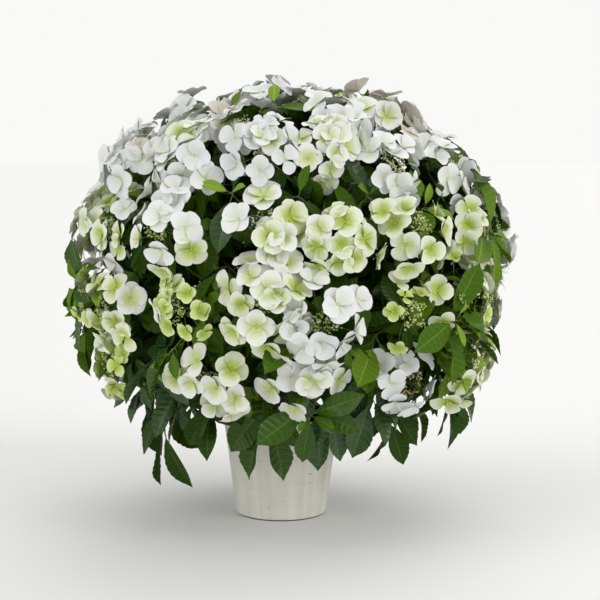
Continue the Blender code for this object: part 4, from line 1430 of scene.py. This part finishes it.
# %% The fan of boughs
BOUGH_SIDES = 12
boughs = Heap()
bough_paths = np.array([[tuple(point) for point in bough_path(mass, BOUGH_STEPS)] for mass in MASSES])
taper = knotted(len(MASSES), BOUGH_STEPS + 1, 0.0042, 0.0024, (0.3, 0.55, 0.8))
points, quads, ends = tubes(bough_paths, taper, BOUGH_SIDES)
spread = points.reshape(len(MASSES), BOUGH_STEPS + 1, BOUGH_SIDES, 3)
around = np.arange(BOUGH_SIDES)[None, None, :]
level = np.arange(BOUGH_STEPS + 1)[None, :, None]
number = np.arange(len(MASSES))[:, None, None]
bump = 1 + 0.07 * np.sin(2.1 * around + 1.3 * level + number) * np.sin(0.9 * level + around)
centres = bough_paths[:, :, None, :]
spread = centres + (spread - centres) * bump[..., None]
boughs.add(spread.reshape(len(MASSES), -1, 3), quads, 0)
caps = ends[None] + ((BOUGH_STEPS + 1) * BOUGH_SIDES * np.arange(len(MASSES)))[:, None, None]
boughs.faces.append(caps.reshape(-1, BOUGH_SIDES))
boughs.slots.append(np.zeros(2 * len(MASSES), dtype=int))
piece = boughs.make("bough_bark", [limb_bark("bough_bark", 0.34)])
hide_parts(*(mass.name.replace("foliage", "bough") for mass in MASSES))

# %% [markdown]
# ## Floor, light and camera
# A pale floor and wide soft lights show a white plant best: the white sepals need a sky that is bright but not
# blinding. A lamp at the front right gives the leaves their gloss, a softer one of the same power fills the left
# side, one behind rims the top, and a very wide one stands for the sky. All are far off, so none of them fades across
# the floor and the floor runs on evenly to the horizon. The camera sees the room more than twice as bright as it
# shines on the plant, so that floor and background meet with hardly an edge.

# %% Floor
FLOOR_HALF = 40.0
corners = [(x * FLOOR_HALF, y * FLOOR_HALF, 0) for x, y in ((-1, -1), (1, -1), (1, 1), (-1, 1))]
mesh = bpy.data.meshes.new("floor")
mesh.from_pydata(corners, [], [(0, 1, 2, 3)])
mesh.materials.append(plain("floor_paint", (0.90, 0.90, 0.885), 0.6, 0.2))
floor = bpy.data.objects.new("floor", mesh)
bpy.context.scene.collection.objects.link(floor)

# %% Lights
ROOM_BRIGHTNESS, SEEN_BRIGHTER = 0.42, 0.525


def wide_lamp(name, spot, power, spread, colour):
    """A soft lamp, far off, that shines from a spot towards the middle of the plant."""
    lamp = bpy.data.lights.new(name, "SUN")
    lamp.energy, lamp.angle, lamp.color = power, math.radians(spread), colour
    light = bpy.data.objects.new(name, lamp)
    light.location = spot
    light.rotation_mode = "QUATERNION"
    light.rotation_quaternion = Vector(spot).to_track_quat("Z", "Y")
    bpy.context.scene.collection.objects.link(light)


LAMPS = (
    ("window", (2.0, -1.6, 1.5), 0.80, 36, (1.0, 0.99, 0.97)),
    ("room", (-2.0, -0.8, 1.1), 0.80, 50, (1.0, 1.0, 1.0)),
    ("garden_door", (0.8, 2.1, 2.2), 0.75, 60, (1.0, 1.0, 1.0)),
    ("sky_light", (0.6, -0.3, 2.0), 0.78, 110, (1.0, 1.0, 1.0)),
)
for lamp in LAMPS:
    wide_lamp(*lamp)
world = bpy.data.worlds.new("soft_room")
world.use_nodes = True
sky = world.node_tree.nodes["Background"]
sky.inputs["Color"].default_value = (1.0, 1.0, 0.99, 1)
seen = add_node(world.node_tree, "ShaderNodeLightPath")
brighter = add_node(world.node_tree, "ShaderNodeMath", operation="MULTIPLY_ADD")
brighter.inputs[1].default_value = SEEN_BRIGHTER
brighter.inputs[2].default_value = ROOM_BRIGHTNESS
link(
    world.node_tree, (seen.outputs["Is Camera Ray"], brighter.inputs[0]), (brighter.outputs[0], sky.inputs["Strength"])
)
bpy.context.scene.world = world

# %% Camera
CAMERA_AIM = Vector((0.0285, 0.0, 0.3215))
CAMERA_DISTANCE = 2.2
CAMERA_ELEVATION = math.radians(6)
lens = bpy.data.cameras.new("camera")
lens.sensor_width = 36
lens.lens = 88.1
camera = bpy.data.objects.new("camera", lens)
back = Vector((0, -math.cos(CAMERA_ELEVATION), math.sin(CAMERA_ELEVATION)))
camera.location = CAMERA_AIM + back * CAMERA_DISTANCE
camera.rotation_mode = "QUATERNION"
camera.rotation_quaternion = (-back).to_track_quat("-Z", "Y")
bpy.context.scene.collection.objects.link(camera)
bpy.context.scene.camera = camera
bpy.context.scene.view_settings.view_transform = "Standard"

# %% The end
bpy.context.view_layer.update()
